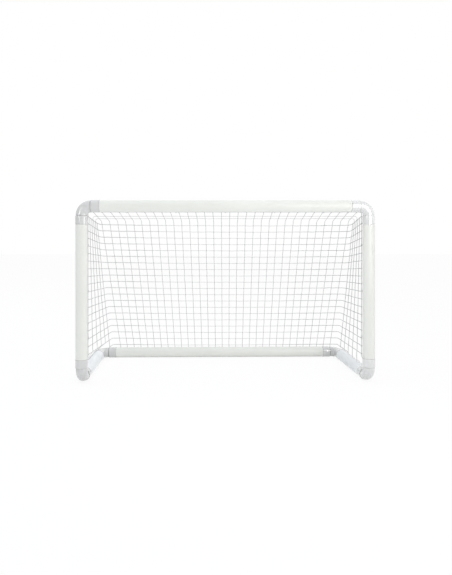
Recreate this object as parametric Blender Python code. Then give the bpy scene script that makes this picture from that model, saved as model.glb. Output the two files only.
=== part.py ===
"""A small free-standing goal: plastic tubes, push-fit corner elbows and a net on hooks.

Run it with blender --background --python part.py, or from the text editor.
Sizes are in metres. +X runs along the crossbar, +Y from the mouth to the back and +Z up.
While it is built, the posts stand at y = 0; at the end an empty carries the whole goal
so that the origin is on the ground under the middle of its bounding box.
"""

from math import cos, pi, radians, sin

import bmesh
import bpy
from mathutils import Matrix, Vector

# Overall size, over the collars of the elbows
GOAL_WIDTH = 1.50
GOAL_DEPTH = 0.60
GOAL_HEIGHT = 0.915

# Tubes
TUBE_DIAMETER = 0.060
TUBE_WALL = 0.0025
TUBE_END_BEVEL = 0.0006
SEGMENTS = 20

# Elbows: a bend between two collars, and a spigot beyond each collar
BEND_INNER_RADIUS = 0.0175
BEND_STEPS = 5
COLLAR_PROUD_OF_TUBE = 0.001
COLLAR_PROUD_OF_BEND = 0.0025
COLLAR_LENGTH = 0.0445
COLLAR_BEVEL = 0.001
NECK_DEPTH = 0.0039
NECK_WIDTH = 0.004
SPIGOT_LENGTH = 0.055
SPIGOT_LEAD_IN = 0.003
ELBOW_WALL = 0.0025

# Clearances between pieces that touch
SPIGOT_CLEARANCE = 0.0003
BUTT_GAP = 0.0003
FLANGE_GAP = 0.0003
HOLE_CLEARANCE = 0.0003
CORD_CLEARANCE = 0.0003

# Net hooks, each pushed into a drilled hole
HOOK_WIDTH = 0.006
HOOK_THICKNESS = 0.0024
HOOK_REACH = 0.010
HOOK_LIP = 0.002
FLANGE_RADIUS = 0.0065
FLANGE_THICKNESS = 0.002
STUD_RADIUS = 0.003
STUD_HEAD_RADIUS = 0.0039
STUD_TIP_RADIUS = 0.002
STUD_HEAD_LENGTH = 0.0028
STUD_HEAD_GAP = 0.0009
STUD_SEGMENTS = 8
CROOK_STEPS = 5
CROSSBAR_HOOKS = 5
POST_HOOKS = 3
SIDE_HOOKS = 2
LONG_TUBE_HOOK_INSET = 0.128
POST_HOOK_INSET = 0.103
SIDE_HOOK_INSET = 0.060
CROSSBAR_HOOK_ANGLE = radians(40)
POST_HOOK_ANGLE = radians(35)
REAR_HOOK_ANGLE = radians(36)

# Border cord
CORD_DIAMETER = 0.004
CORD_CORNER_RADIUS = 0.012
CORD_CORNER_STEPS = 3
CORD_BEFORE_COLLAR_END = 0.0155
CORD_CROSSING = 0.020
CORD_OVER_SIDE_ANGLE = radians(50)

# Net: drawn at about twice the real mesh of 42 mm by 38 mm. It hangs a little to the right.
NET_CORD = 0.003
MESHES_BETWEEN_HOOKS = 3
ROOF_ROWS = 3
BACK_ROWS = 10
SIDE_ROWS = 9
ROOF_DEPTH = 0.125
ROOF_DROP = 0.078
TOP_CORNER_INSET = 0.054
BOTTOM_CORNER_INSET = 0.0305
TOP_ROW_ON_BACK = 0.030
LOWEST_ROW_ON_BACK = 0.047
NET_SEAM = 0.0007
NET_CORNER_SEAM = 0.0021
NET_OVER_TUBE = 0.001
NET_LEAN_AT_BEND = 0.008
NET_LEAN_AT_FOOT = 0.036

TUBE_RADIUS = TUBE_DIAMETER / 2
COLLAR_RADIUS = TUBE_RADIUS + COLLAR_PROUD_OF_TUBE
BEND_TUBE_RADIUS = COLLAR_RADIUS - COLLAR_PROUD_OF_BEND
NECK_RADIUS = COLLAR_RADIUS - NECK_DEPTH
BEND_RADIUS = BEND_INNER_RADIUS + BEND_TUBE_RADIUS
CORD_RADIUS = CORD_DIAMETER / 2
SPIGOT_RADIUS = TUBE_RADIUS - TUBE_WALL - SPIGOT_CLEARANCE
COLLAR_END = BEND_RADIUS + COLLAR_LENGTH
CROOK_RADIUS = CORD_RADIUS + CORD_CLEARANCE + HOOK_THICKNESS / 2
CORD_OFFSET = TUBE_RADIUS + HOOK_REACH
CORD_TO_NET = CORD_RADIUS + CORD_CLEARANCE

# The axes of the tubes. The flats of the collars rest on the ground.
COLLAR_FLAT = COLLAR_RADIUS * cos(pi / SEGMENTS)
HALF_WIDTH = GOAL_WIDTH / 2 - COLLAR_RADIUS
DEPTH = GOAL_DEPTH - 2 * COLLAR_RADIUS
LOW = COLLAR_FLAT
HIGH = GOAL_HEIGHT - COLLAR_FLAT

RIGHT = Vector((1, 0, 0))
BACK = Vector((0, 1, 0))
UP = Vector((0, 0, 1))


def clear_scene():
    for obj in list(bpy.data.objects):
        bpy.data.objects.remove(obj)


def material(name, colour, roughness):
    made = bpy.data.materials.new(name)
    made.use_nodes = True
    surface = made.node_tree.nodes["Principled BSDF"]
    surface.inputs["Base Color"].default_value = (*colour, 1)
    surface.inputs["Roughness"].default_value = roughness
    surface.inputs["Metallic"].default_value = 0
    return made


def add_object(name, mesh, carrier):
    obj = bpy.data.objects.new(name, mesh)
    bpy.context.scene.collection.objects.link(obj)
    obj.parent = carrier
    return obj


def finished_mesh(name, bm, finish):
    """The mesh of bm, with its faces outward and its round sides shaded smooth."""
    bmesh.ops.recalc_face_normals(bm, faces=bm.faces)
    mesh = bpy.data.meshes.new(name)
    bm.to_mesh(mesh)
    bm.free()
    mesh.materials.append(finish)
    mesh.shade_smooth()
    mesh.set_sharp_from_angle(angle=radians(35))
    return mesh


def ring(centre, across, beside, radius, count):
    """Corners of a polygon with a flat side toward across, beside and their opposites."""
    angles = [2 * pi * (k + 0.5) / count for k in range(count)]
    return [centre + radius * (cos(a) * across + sin(a) * beside) for a in angles]


def loft(bm, rings, closed):
    """Skins the rings in turn. A closed loft joins the last to the first; an open one is capped."""
    corners = [[bm.verts.new(p) for p in points] for points in rings]
    pairs = list(zip(corners, corners[1:]))
    if closed:
        pairs.append((corners[-1], corners[0]))
    else:
        bm.faces.new(corners[0])
        bm.faces.new(corners[-1])
    for one, other in pairs:
        for k in range(len(one)):
            after = (k + 1) % len(one)
            bm.faces.new((one[k], one[after], other[after], other[k]))


def tube_mesh(name, length, finish):
    """An open tube along X, centred on the origin, with its outer rims eased."""
    half = length / 2
    bore = TUBE_RADIUS - TUBE_WALL
    eased = TUBE_RADIUS - TUBE_END_BEVEL
    profile = [
        (-half, bore),
        (-half, eased),
        (TUBE_END_BEVEL - half, TUBE_RADIUS),
        (half - TUBE_END_BEVEL, TUBE_RADIUS),
        (half, eased),
        (half, bore),
    ]
    bm = bmesh.new()
    rings = [ring(x * RIGHT, BACK, UP, radius, SEGMENTS) for x, radius in profile]
    loft(bm, rings, closed=True)
    return finished_mesh(name, bm, finish)


def elbow_mesh(finish):
    """An elbow with its corner at the origin and its arms along +X and +Y."""
    tip = COLLAR_LENGTH + SPIGOT_LENGTH
    bore = SPIGOT_RADIUS - ELBOW_WALL
    arm = [
        (tip, SPIGOT_RADIUS - ELBOW_WALL / 2),
        (tip - SPIGOT_LEAD_IN, SPIGOT_RADIUS),
        (COLLAR_LENGTH, SPIGOT_RADIUS),
        (COLLAR_LENGTH, COLLAR_RADIUS - COLLAR_BEVEL),
        (COLLAR_LENGTH - COLLAR_BEVEL, COLLAR_RADIUS),
        (NECK_WIDTH, COLLAR_RADIUS),
        (NECK_WIDTH / 2, NECK_RADIUS),
    ]

    def arm_ring(along, beyond, outward, radius):
        centre = (BEND_RADIUS + beyond) * along
        return ring(centre, outward, UP, radius, SEGMENTS)

    def bend_rings(radius):
        rings = []
        middle = BEND_RADIUS * (RIGHT + BACK)
        for step in range(BEND_STEPS + 1):
            turned = step / BEND_STEPS * pi / 2
            outward = -sin(turned) * RIGHT - cos(turned) * BACK
            rings.append(ring(middle + BEND_RADIUS * outward, outward, UP, radius, SEGMENTS))
        return rings

    outside = [arm_ring(RIGHT, beyond, -BACK, radius) for beyond, radius in arm]
    outside += bend_rings(BEND_TUBE_RADIUS)
    outside += [arm_ring(BACK, beyond, -RIGHT, radius) for beyond, radius in reversed(arm)]
    inside = [arm_ring(BACK, tip, -RIGHT, bore)]
    inside += reversed(bend_rings(bore))
    inside.append(arm_ring(RIGHT, tip, -BACK, bore))
    bm = bmesh.new()
    loft(bm, outside + inside, closed=True)
    return finished_mesh("elbow", bm, finish)


def crook_outline():
    """The crook of a net hook in its own (y, z), the tube's surface being z = 0."""
    half = HOOK_THICKNESS / 2
    root = FLANGE_GAP + FLANGE_THICKNESS / 2
    lip_end = HOOK_REACH - HOOK_LIP
    steps = range(CROOK_STEPS + 1)

    def arc(radius, turned):
        return CROOK_RADIUS - radius * cos(turned), HOOK_REACH + radius * sin(turned)

    outline = [(-half, root)]
    outline += [arc(CROOK_RADIUS + half, pi * k / CROOK_STEPS) for k in steps]
    outline.append((2 * CROOK_RADIUS + half, lip_end))
    outline.append((2 * CROOK_RADIUS - half, lip_end))
    outline += [arc(CROOK_RADIUS - half, pi * k / CROOK_STEPS) for k in reversed(steps)]
    outline.append((half, root))
    return outline


def hook_mesh(finish):
    """A net hook. Its stud points down -Z, into the tube, and its crook holds a cord that runs along X."""
    bm = bmesh.new()
    ends = [[Vector((x, y, z)) for y, z in crook_outline()] for x in (-HOOK_WIDTH / 2, HOOK_WIDTH / 2)]
    loft(bm, ends, closed=False)
    crook = finished_mesh("hook_crook", bm, finish)

    head = -TUBE_WALL - STUD_HEAD_GAP
    profile = [
        (head - STUD_HEAD_LENGTH, STUD_TIP_RADIUS),
        (head, STUD_HEAD_RADIUS),
        (head, STUD_RADIUS),
        (FLANGE_GAP, STUD_RADIUS),
        (FLANGE_GAP, FLANGE_RADIUS),
        (FLANGE_GAP + FLANGE_THICKNESS, FLANGE_RADIUS),
    ]
    bm = bmesh.new()
    rings = [ring(z * UP, RIGHT, BACK, radius, STUD_SEGMENTS) for z, radius in profile]
    loft(bm, rings, closed=False)
    stud = finished_mesh("hook_stud", bm, finish)

    joined = add_object("hook_pattern", stud, None)
    added = add_object("hook_crook_pattern", crook, None)
    union = joined.modifiers.new("crook", "BOOLEAN")
    union.operation = "UNION"
    union.object = added
    graph = bpy.context.evaluated_depsgraph_get()
    mesh = bpy.data.meshes.new_from_object(joined.evaluated_get(graph))
    mesh.name = "net_hook"
    mesh.set_sharp_from_angle(angle=radians(35))
    bpy.data.objects.remove(joined)
    bpy.data.objects.remove(added)
    return mesh


def facing(x_axis, y_axis, place):
    """The matrix that turns an object's own X and Y to these directions and moves it to place."""
    turned = Matrix((x_axis, y_axis, x_axis.cross(y_axis))).transposed()
    return Matrix.Translation(place) @ turned.to_4x4()


class Run:
    """One tube between two corners, with the side of it that carries the net hooks."""

    def __init__(self, name, start, end, hooks, inset, radial, lip):
        self.name = name
        self.start = start
        self.end = end
        self.along = (end - start).normalized()
        self.length = (end - start).length - 2 * (COLLAR_END + BUTT_GAP)
        self.middle = (start + end) / 2
        self.hooks = hooks
        self.inset = inset
        self.radial = radial
        self.lip = lip

    def hook_places(self):
        """Points on the tube's axis, one for each hook."""
        reach = self.length / 2 - self.inset
        shares = [2 * k / (self.hooks - 1) - 1 for k in range(self.hooks)]
        return [self.middle + share * reach * self.along for share in shares]

    def hook_matrix(self, place):
        matrix = facing(self.lip.cross(self.radial), self.lip, place)
        return Matrix.Translation(TUBE_RADIUS * self.radial) @ matrix

    def cord_at(self, place):
        """Where the border cord passes this point of the axis."""
        return place + CORD_OFFSET * self.radial + CROOK_RADIUS * self.lip


def corner(side, y, z):
    return Vector((side * HALF_WIDTH, y, z))


def runs():
    """Every tube of the frame, by name."""
    bar = CROSSBAR_HOOK_ANGLE
    post = POST_HOOK_ANGLE
    rear = REAR_HOOK_ANGLE
    made = [
        Run(
            "crossbar",
            corner(-1, 0, HIGH),
            corner(1, 0, HIGH),
            CROSSBAR_HOOKS,
            LONG_TUBE_HOOK_INSET,
            cos(bar) * BACK - sin(bar) * UP,
            -sin(bar) * BACK - cos(bar) * UP,
        ),
        Run(
            "rear",
            corner(-1, DEPTH, LOW),
            corner(1, DEPTH, LOW),
            CROSSBAR_HOOKS,
            LONG_TUBE_HOOK_INSET,
            cos(rear) * BACK + sin(rear) * UP,
            sin(rear) * BACK - cos(rear) * UP,
        ),
    ]
    for name, side in (("left", -1), ("right", 1)):
        inward = -side * RIGHT
        made.append(
            Run(
                f"{name}_post",
                corner(side, 0, LOW),
                corner(side, 0, HIGH),
                POST_HOOKS,
                POST_HOOK_INSET,
                sin(post) * inward + cos(post) * BACK,
                cos(post) * inward - sin(post) * BACK,
            )
        )
        made.append(
            Run(
                f"{name}_side",
                corner(side, 0, LOW),
                corner(side, DEPTH, LOW),
                SIDE_HOOKS,
                SIDE_HOOK_INSET,
                -inward,
                -UP,
            )
        )
    return {run.name: run for run in made}


def hole_cutter(run, carrier):
    """One mesh of short cylinders, a drill through one wall for each hook."""
    depth = 3 * TUBE_WALL
    half_step = Matrix.Rotation(pi / STUD_SEGMENTS, 4, "Z")
    bm = bmesh.new()
    for place in run.hook_places():
        bmesh.ops.create_cone(
            bm,
            cap_ends=True,
            segments=STUD_SEGMENTS,
            radius1=STUD_RADIUS + HOLE_CLEARANCE,
            radius2=STUD_RADIUS + HOLE_CLEARANCE,
            depth=2 * depth,
            matrix=run.hook_matrix(place) @ half_step,
        )
    mesh = bpy.data.meshes.new(f"{run.name}_drill")
    bm.to_mesh(mesh)
    bm.free()
    cutter = add_object(f"{run.name}_drill", mesh, carrier)
    cutter.hide_render = True
    cutter.display_type = "WIRE"
    return cutter


def add_tubes(frame, finish, carrier):
    for run in frame.values():
        tube = add_object(f"{run.name}_tube", tube_mesh(f"{run.name}_tube", run.length, finish), carrier)
        beside = BACK if abs(run.along.z) > 0.5 else UP
        tube.matrix_local = facing(run.along, beside, run.middle)
        drill = tube.modifiers.new("hook holes", "BOOLEAN")
        drill.operation = "DIFFERENCE"
        drill.object = hole_cutter(run, carrier)


def add_elbows(finish, carrier):
    mesh = elbow_mesh(finish)
    arms = {
        "top_left_elbow": (corner(-1, 0, HIGH), RIGHT, -UP),
        "top_right_elbow": (corner(1, 0, HIGH), -RIGHT, -UP),
        "front_left_elbow": (corner(-1, 0, LOW), UP, BACK),
        "front_right_elbow": (corner(1, 0, LOW), UP, BACK),
        "rear_left_elbow": (corner(-1, DEPTH, LOW), -BACK, RIGHT),
        "rear_right_elbow": (corner(1, DEPTH, LOW), -BACK, -RIGHT),
    }
    for name, (place, one_arm, other_arm) in arms.items():
        elbow = add_object(name, mesh, carrier)
        elbow.matrix_local = facing(one_arm, other_arm, place)


def add_hooks(frame, finish, carrier):
    mesh = hook_mesh(finish)
    for run in frame.values():
        for number, place in enumerate(run.hook_places(), 1):
            hook = add_object(f"{run.name}_net_hook_{number}", mesh, carrier)
            hook.matrix_local = run.hook_matrix(place)


def rounded(corners):
    """A route through (point, reach) corners, each but the ends rounded from reach before it to after it."""
    route = [corners[0][0]]
    for (before, _), (point, reach), (after, _) in zip(corners, corners[1:], corners[2:]):
        start = reach * (before - point).normalized()
        end = reach * (after - point).normalized()
        for step in range(CORD_CORNER_STEPS + 1):
            t = step / CORD_CORNER_STEPS
            route.append(point + (1 - t) ** 2 * start + t**2 * end)
    return route


def cord_at_top_corner(frame):
    """Where the border cord turns from the crossbar down the left post."""
    bar = frame["crossbar"].cord_at(corner(-1, 0, HIGH))
    post = frame["left_post"].cord_at(corner(-1, 0, HIGH))
    return Vector((post.x, bar.y, bar.z))


def left_half_of_route(frame):
    """The border cord's middle line, from the crossbar round by the left post to the rear tube."""
    low = corner(-1, 0, LOW)
    bar = frame["crossbar"].cord_at(Vector((0, 0, HIGH)))
    post = frame["left_post"].cord_at(low)
    held = frame["left_side"].cord_at(low)
    rear = frame["rear"].cord_at(Vector((0, DEPTH, LOW)))
    outward = CORD_OFFSET * (cos(CORD_OVER_SIDE_ANGLE) * UP - sin(CORD_OVER_SIDE_ANGLE) * RIGHT)
    over = COLLAR_END - CORD_BEFORE_COLLAR_END
    turn = cord_at_top_corner(frame)
    corners = [
        (bar, 0),
        (turn, CORD_CORNER_RADIUS),
        (Vector((post.x, post.y, HIGH - COLLAR_END)), CORD_CORNER_RADIUS),
        (Vector((post.x, post.y, LOW + COLLAR_END)), CORD_CORNER_RADIUS),
        (low + over * BACK + outward, CORD_CROSSING / 2),
        (held + (over + CORD_CROSSING) * BACK, CORD_CROSSING / 2),
        (Vector((held.x, rear.y - COLLAR_END, held.z)), CORD_CORNER_RADIUS),
        (Vector((held.x, rear.y, (held.z + rear.z) / 2)), COLLAR_END - CORD_CORNER_RADIUS),
        (Vector((held.x + COLLAR_END, rear.y, rear.z)), CORD_CORNER_RADIUS),
        (rear, 0),
    ]
    return rounded(corners)[1:-1]


def add_border_cord(frame, finish, carrier):
    """One closed cord round the open edge of the net."""
    left = left_half_of_route(frame)
    right = [Vector((-p.x, p.y, p.z)) for p in reversed(left)]
    points = left + right
    curve = bpy.data.curves.new("net_border_cord", "CURVE")
    curve.dimensions = "3D"
    curve.bevel_depth = CORD_RADIUS
    curve.bevel_resolution = 1
    spline = curve.splines.new("POLY")
    spline.points.add(len(points) - 1)
    spline.use_cyclic_u = True
    for slot, place in zip(spline.points, points):
        slot.co = (*place, 1)
    curve.materials.append(finish)
    add_object("net_border_cord", curve, carrier)


def stations(centres, low, high):
    """The lines that bound each cord, and for each stretch between two lines whether it is a cord."""
    half = NET_CORD / 2
    lines = [low]
    corded = [False]
    for centre in centres:
        lines += [(centre, -half), (centre, half)]
        corded += [True, False]
    return lines + [high], corded


def lattice_mesh(name, columns, rows, surface, finish):
    """A flat net: square cords along the columns and rows of a surface, with open meshes between.

    surface(column line, row line) gives a point and the net's normal there. Cords run out to the
    first and last line of each direction, where no cord closes the mesh.
    """
    column_lines, column_corded = columns
    row_lines, row_corded = rows
    wide = len(column_corded)
    tall = len(row_corded)
    filled = {(i, j) for i in range(wide) for j in range(tall) if column_corded[i] or row_corded[j]}
    bm = bmesh.new()
    made = {}

    def pair(i, j):
        """The front and back corner at a crossing of two lines."""
        if (i, j) not in made:
            point, normal = surface(column_lines[i], row_lines[j])
            offset = NET_CORD / 2 * normal
            made[i, j] = (bm.verts.new(point + offset), bm.verts.new(point - offset))
        return made[i, j]

    for i, j in sorted(filled):
        around = [(i, j), (i + 1, j), (i + 1, j + 1), (i, j + 1)]
        beyond = [(i, j - 1), (i + 1, j), (i, j + 1), (i - 1, j)]
        for layer in (0, 1):
            bm.faces.new([pair(*at)[layer] for at in around])
        for k in range(4):
            if beyond[k] not in filled:
                one = pair(*around[k])
                other = pair(*around[(k + 1) % 4])
                bm.faces.new((one[0], other[0], other[1], one[1]))
    return finished_mesh(name, bm, finish)


class NetShape:
    """The planes of the net, worked out from the cord lines of the frame's hooks."""

    def __init__(self, frame):
        self.frame = frame
        self.front = frame["crossbar"].cord_at(Vector((0, 0, HIGH)))
        self.bend = Vector((0, ROOF_DEPTH, HIGH - ROOF_DROP))
        self.rear = frame["rear"].cord_at(Vector((0, DEPTH, LOW)))
        self.roof_along = (self.bend - self.front).normalized()
        self.back_along = (self.rear - self.bend).normalized()
        self.roof_length = (self.bend - self.front).length
        self.back_length = (self.rear - self.bend).length
        places = frame["crossbar"].hook_places()
        self.column_pitch = (places[1].x - places[0].x) / MESHES_BETWEEN_HOOKS
        self.half_columns = MESHES_BETWEEN_HOOKS * (CROSSBAR_HOOKS - 1) // 2 + 2
        last_row = self.back_length - LOWEST_ROW_ON_BACK
        self.row_pitch = (last_row - TOP_ROW_ON_BACK) / (BACK_ROWS - 1)

    def columns(self):
        """Places along X. Each hook comes midway between two of them."""
        count = self.half_columns
        return [(k + 0.5) * self.column_pitch for k in range(-count, count)]

    def back_rows(self):
        """Distances down the back plane from the bend."""
        return [TOP_ROW_ON_BACK + k * self.row_pitch for k in range(BACK_ROWS)]

    def lean(self, down):
        """How far to the right the net hangs, this far down the back plane."""
        share = down / self.back_length
        return NET_LEAN_AT_BEND + share * (NET_LEAN_AT_FOOT - NET_LEAN_AT_BEND)

    def edge(self, side, down):
        """X of the net's corner on this side, this far down the back plane."""
        share = down / self.back_length
        inset = TOP_CORNER_INSET + share * (BOTTOM_CORNER_INSET - TOP_CORNER_INSET)
        return side * (HALF_WIDTH - inset) + self.lean(down)

    def roof(self, column, row):
        """The roof's surface. Row lines are distances from the crossbar's cord."""
        down = sum(row)
        share = down / self.roof_length
        corner_x = -cord_at_top_corner(self.frame).x
        low = -corner_x + share * (self.edge(-1, 0) + corner_x) + NET_CORNER_SEAM
        high = corner_x + share * (self.edge(1, 0) - corner_x) - NET_CORNER_SEAM
        x = max(low, min(high, sum(column) + share * self.lean(0)))
        return self.front + down * self.roof_along + x * RIGHT, self.roof_along.cross(RIGHT)

    def back(self, column, row):
        """The back's surface. Row lines are distances from the bend."""
        down = sum(row)
        x = sum(column) + self.lean(down)
        x = max(self.edge(-1, down) + NET_CORNER_SEAM, min(self.edge(1, down) - NET_CORNER_SEAM, x))
        return self.bend + down * self.back_along + x * RIGHT, self.back_along.cross(RIGHT)

    def side_rows(self):
        """Pairs: height at the post, and distance down the back plane. Each hook is midway between two."""
        places = self.frame["left_post"].hook_places()
        pitch = (places[1].z - places[0].z) / MESHES_BETWEEN_HOOKS
        top = places[-1].z + 1.5 * pitch
        heights = [top - k * pitch for k in range(SIDE_ROWS)]
        return list(zip(heights, self.back_rows()))

    def side_columns(self):
        """Shares of the way from post to corner. Each hook of a side tube is midway between two."""
        places = self.frame["left_side"].hook_places()
        pitch = (places[1].y - places[0].y) / MESHES_BETWEEN_HOOKS
        front = self.frame["left_post"].cord_at(corner(-1, 0, LOW)).y + CORD_TO_NET
        rear = (self.bend + self.side_rows()[-1][1] * self.back_along).y
        count = MESHES_BETWEEN_HOOKS * (SIDE_HOOKS - 1) + 2
        return [(places[0].y + (k - 0.5) * pitch - front) / (rear - front) for k in range(count)]

    def side(self, side):
        """The surface of one side of the net.

        It is fanned between the post's cord and the back's edge. Below the last row its strands
        pass over the side tube to the cord on the tube's outer side.
        """
        name = "left" if side < 0 else "right"
        post = self.frame[f"{name}_post"].cord_at(corner(side, 0, LOW))
        held = self.frame[f"{name}_side"].cord_at(corner(side, 0, LOW))
        clear = COLLAR_RADIUS + NET_CORD / 2 + NET_OVER_TUBE

        def on_row(share, height, down):
            front = Vector((post.x, post.y + CORD_TO_NET, height))
            rear = self.bend + down * self.back_along + self.edge(side, down) * RIGHT
            return front.lerp(rear, share), (rear - front).normalized()

        def outward(normal):
            return normal * (1 if side * normal.x > 0 else -1)

        def surface(column, row):
            share, along_shift = column
            place, down_shift = row
            if place in ("over the tube", "at the cord"):
                turn, along = on_row(share, *self.side_rows()[-1])
                turn += along_shift * along
                end = Vector((held.x, turn.y, held.z))
                axis = corner(side, turn.y, LOW)
                way = (end - turn).normalized()
                near = turn + (axis - turn).dot(way) * way - axis
                lifted = axis + max(near.length, clear) * near.normalized()
                if place == "over the tube":
                    return lifted, near.normalized()
                way = (end - lifted).normalized()
                return end - CORD_TO_NET * way, outward(way.cross(BACK).normalized())
            height, down = place
            point, along = on_row(share, height - down_shift, down + down_shift)
            lower, _ = on_row(share, height - down_shift - NET_CORD, down + down_shift + NET_CORD)
            return point + along_shift * along, outward(along.cross(lower - point).normalized())

        return surface


def add_net(frame, finish, carrier):
    shape = NetShape(frame)
    far = GOAL_WIDTH
    columns = stations(shape.columns(), (-far, 0), (far, 0))

    roof_pitch = (shape.roof_length - NET_SEAM - NET_CORD / 2) / ROOF_ROWS
    roof_rows = [roof_pitch * (k + 1) for k in range(ROOF_ROWS)]
    lines, corded = stations(roof_rows, (CORD_TO_NET, 0), None)
    roof = lattice_mesh("roof_net", columns, (lines[:-1], corded[:-1]), shape.roof, finish)
    add_object("roof_net", roof, carrier)

    rows = stations(shape.back_rows(), (NET_SEAM, 0), (shape.back_length - CORD_TO_NET, 0))
    add_object("back_net", lattice_mesh("back_net", columns, rows, shape.back, finish), carrier)

    top = shape.front.z
    side_columns = stations(shape.side_columns(), (0, 0), (1, 0))
    lines, corded = stations(shape.side_rows(), ((top, 0), 0), ("over the tube", 0))
    side_rows = lines + [("at the cord", 0)], corded + [False]
    for name, side in (("left_side_net", -1), ("right_side_net", 1)):
        mesh = lattice_mesh(name, side_columns, side_rows, shape.side(side), finish)
        add_object(name, mesh, carrier)


def centre_on_ground(carrier):
    """Moves the whole goal so that its box is centred over the origin."""
    graph = bpy.context.evaluated_depsgraph_get()
    depths = []
    for obj in carrier.children:
        if not obj.hide_render:
            solid = obj.evaluated_get(graph)
            depths += [(solid.matrix_world @ vertex.co).y for vertex in solid.to_mesh().vertices]
            solid.to_mesh_clear()
    carrier.location = -(min(depths) + max(depths)) / 2 * BACK


def main():
    clear_scene()
    tube_plastic = material("cream_tube_plastic", (0.80, 0.80, 0.76), 0.42)
    elbow_plastic = material("grey_white_elbow_plastic", (0.66, 0.66, 0.66), 0.22)
    hook_plastic = material("white_hook_plastic", (0.75, 0.75, 0.75), 0.35)
    net_fibre = material("pale_net_cord", (0.60, 0.60, 0.60), 0.75)
    border_fibre = material("pale_border_cord", (0.62, 0.62, 0.62), 0.7)
    carrier = bpy.data.objects.new("goal", None)
    bpy.context.scene.collection.objects.link(carrier)
    frame = runs()
    add_tubes(frame, tube_plastic, carrier)
    add_elbows(elbow_plastic, carrier)
    add_hooks(frame, hook_plastic, carrier)
    add_border_cord(frame, border_fibre, carrier)
    add_net(frame, net_fibre, carrier)
    centre_on_ground(carrier)


if __name__ == "__main__":
    main()
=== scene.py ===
"""A small free-standing goal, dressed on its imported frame: tubes, elbows, hooks, border cord and netting.

Sizes are in metres. +X runs along the crossbar, +Y from the mouth to the back and +Z up.
Every shape is worked out with numpy as rings carried along paths, whole arrays at a time.
"""

from math import cos, pi, radians, sin, tau

import bpy
import numpy as np
from bpy.props import FloatProperty, FloatVectorProperty, IntProperty, PointerProperty
from bpy.types import Operator, Panel, PropertyGroup
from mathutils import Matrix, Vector


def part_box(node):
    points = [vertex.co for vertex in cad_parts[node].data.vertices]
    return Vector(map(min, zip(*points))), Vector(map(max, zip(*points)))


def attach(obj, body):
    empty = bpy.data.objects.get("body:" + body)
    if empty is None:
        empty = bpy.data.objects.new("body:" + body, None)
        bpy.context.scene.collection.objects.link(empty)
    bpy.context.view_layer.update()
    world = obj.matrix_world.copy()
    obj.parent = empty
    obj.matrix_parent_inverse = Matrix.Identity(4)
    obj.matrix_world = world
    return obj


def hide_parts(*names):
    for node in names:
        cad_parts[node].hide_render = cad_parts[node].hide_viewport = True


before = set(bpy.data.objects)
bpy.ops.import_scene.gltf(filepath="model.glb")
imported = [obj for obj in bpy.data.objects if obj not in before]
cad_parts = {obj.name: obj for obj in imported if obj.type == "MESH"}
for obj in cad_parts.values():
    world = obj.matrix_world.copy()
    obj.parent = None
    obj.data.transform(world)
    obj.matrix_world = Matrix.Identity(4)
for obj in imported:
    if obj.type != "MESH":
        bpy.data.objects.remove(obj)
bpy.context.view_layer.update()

bl_info = {
    "name": "Free-standing goal",
    "version": (1, 0, 0),
    "blender": (4, 5, 0),
    "location": "3D View > Sidebar > Goal",
    "description": "Builds the tubes, elbows, hooks, cord and netting of a small goal",
    "category": "Object",
}

RIGHT = np.array((1.0, 0.0, 0.0))
BACK = np.array((0.0, 1.0, 0.0))
UP = np.array((0.0, 0.0, 1.0))


def middle_of(node):
    """The middle of a CAD node's box."""
    low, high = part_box(node)
    return (np.array(low) + np.array(high)) / 2


# The axes of the frame's tubes
HALF_WIDTH = float(middle_of("right_post_tube")[0])
FRONT = float(middle_of("left_post_tube")[1])
REAR = float(middle_of("rear_tube")[1])
LOW = float(middle_of("rear_tube")[2])
HIGH = float(middle_of("crossbar_tube")[2])

# Where the hooks stand round the tubes, how far from a tube's axis they hold the border cord, and how far the
# elbows' collars reach from the frame's corners
HOOK_ANGLES = {"crossbar": radians(40), "post": radians(35), "rear": radians(36)}
CORD_OFFSET = 0.040
CROOK_RADIUS = 0.0035
COLLAR_END = 0.0905

# The net's bend lies this far behind and below the crossbar's axis
ROOF_DEPTH = 0.125
ROOF_DROP = 0.072
BACK_ROWS = 20
# Distances of the roof's rows from the crossbar's cord
ROOF_ROW_PLACES = (0.0470, 0.0740)
# Height of the first row at the posts, the pitch of the rows there, and how far the middle ones are pulled up
SIDE_ROW_TOP = 0.834
SIDE_ROW_PITCH = 0.0388
SIDE_ROW_HUMP = 0.008
SIDE_ROW_HUMP_SKEW = 0.7
SIDE_STRANDS = 5


def a_length(name, description, default):
    """A setting in metres."""
    return FloatProperty(name=name, description=description, default=default, unit="LENGTH")


def a_power(name, description, default):
    """A lamp's power."""
    return FloatProperty(name=name, description=description, default=default, min=0, unit="POWER")


def a_colour(name, description, default):
    """A colour setting."""
    return FloatVectorProperty(name=name, description=description, default=default, subtype="COLOR", min=0, max=1)


class FrameSettings(PropertyGroup):
    """Tubes, elbows and hooks."""

    tube_diameter: a_length("Tube diameter", "Outer diameter of the tubes", 0.0598)
    tube_wall: a_length("Tube wall", "Wall of the tubes", 0.0025)
    collar_diameter: a_length("Collar diameter", "Outer diameter of the elbows' collars", 0.0616)
    bend_diameter: a_length("Bend diameter", "Outer diameter of the elbows' bends", 0.0568)
    tube_colour: a_colour("Tube colour", "Colour of the extruded plastic", (0.83, 0.838, 0.80))
    # The side tubes are painted lighter and bluer than the other tubes: painted light from above
    side_tube_painted_light_colour: a_colour("Side tube colour", "Colour of the two side tubes' plastic", (0.87, 0.892, 0.91))
    # The lightest that the elbows are painted: each elbow is darkened from it, partly by its own tone and partly by
    # painted shade, least on the lit right side
    elbow_colour: a_colour("Elbow colour", "Colour of the moulded elbows where they are clean", (0.80, 0.80, 0.80))
    hook_colour: a_colour("Hook colour", "Colour of the net hooks", (0.75, 0.75, 0.75))


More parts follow.
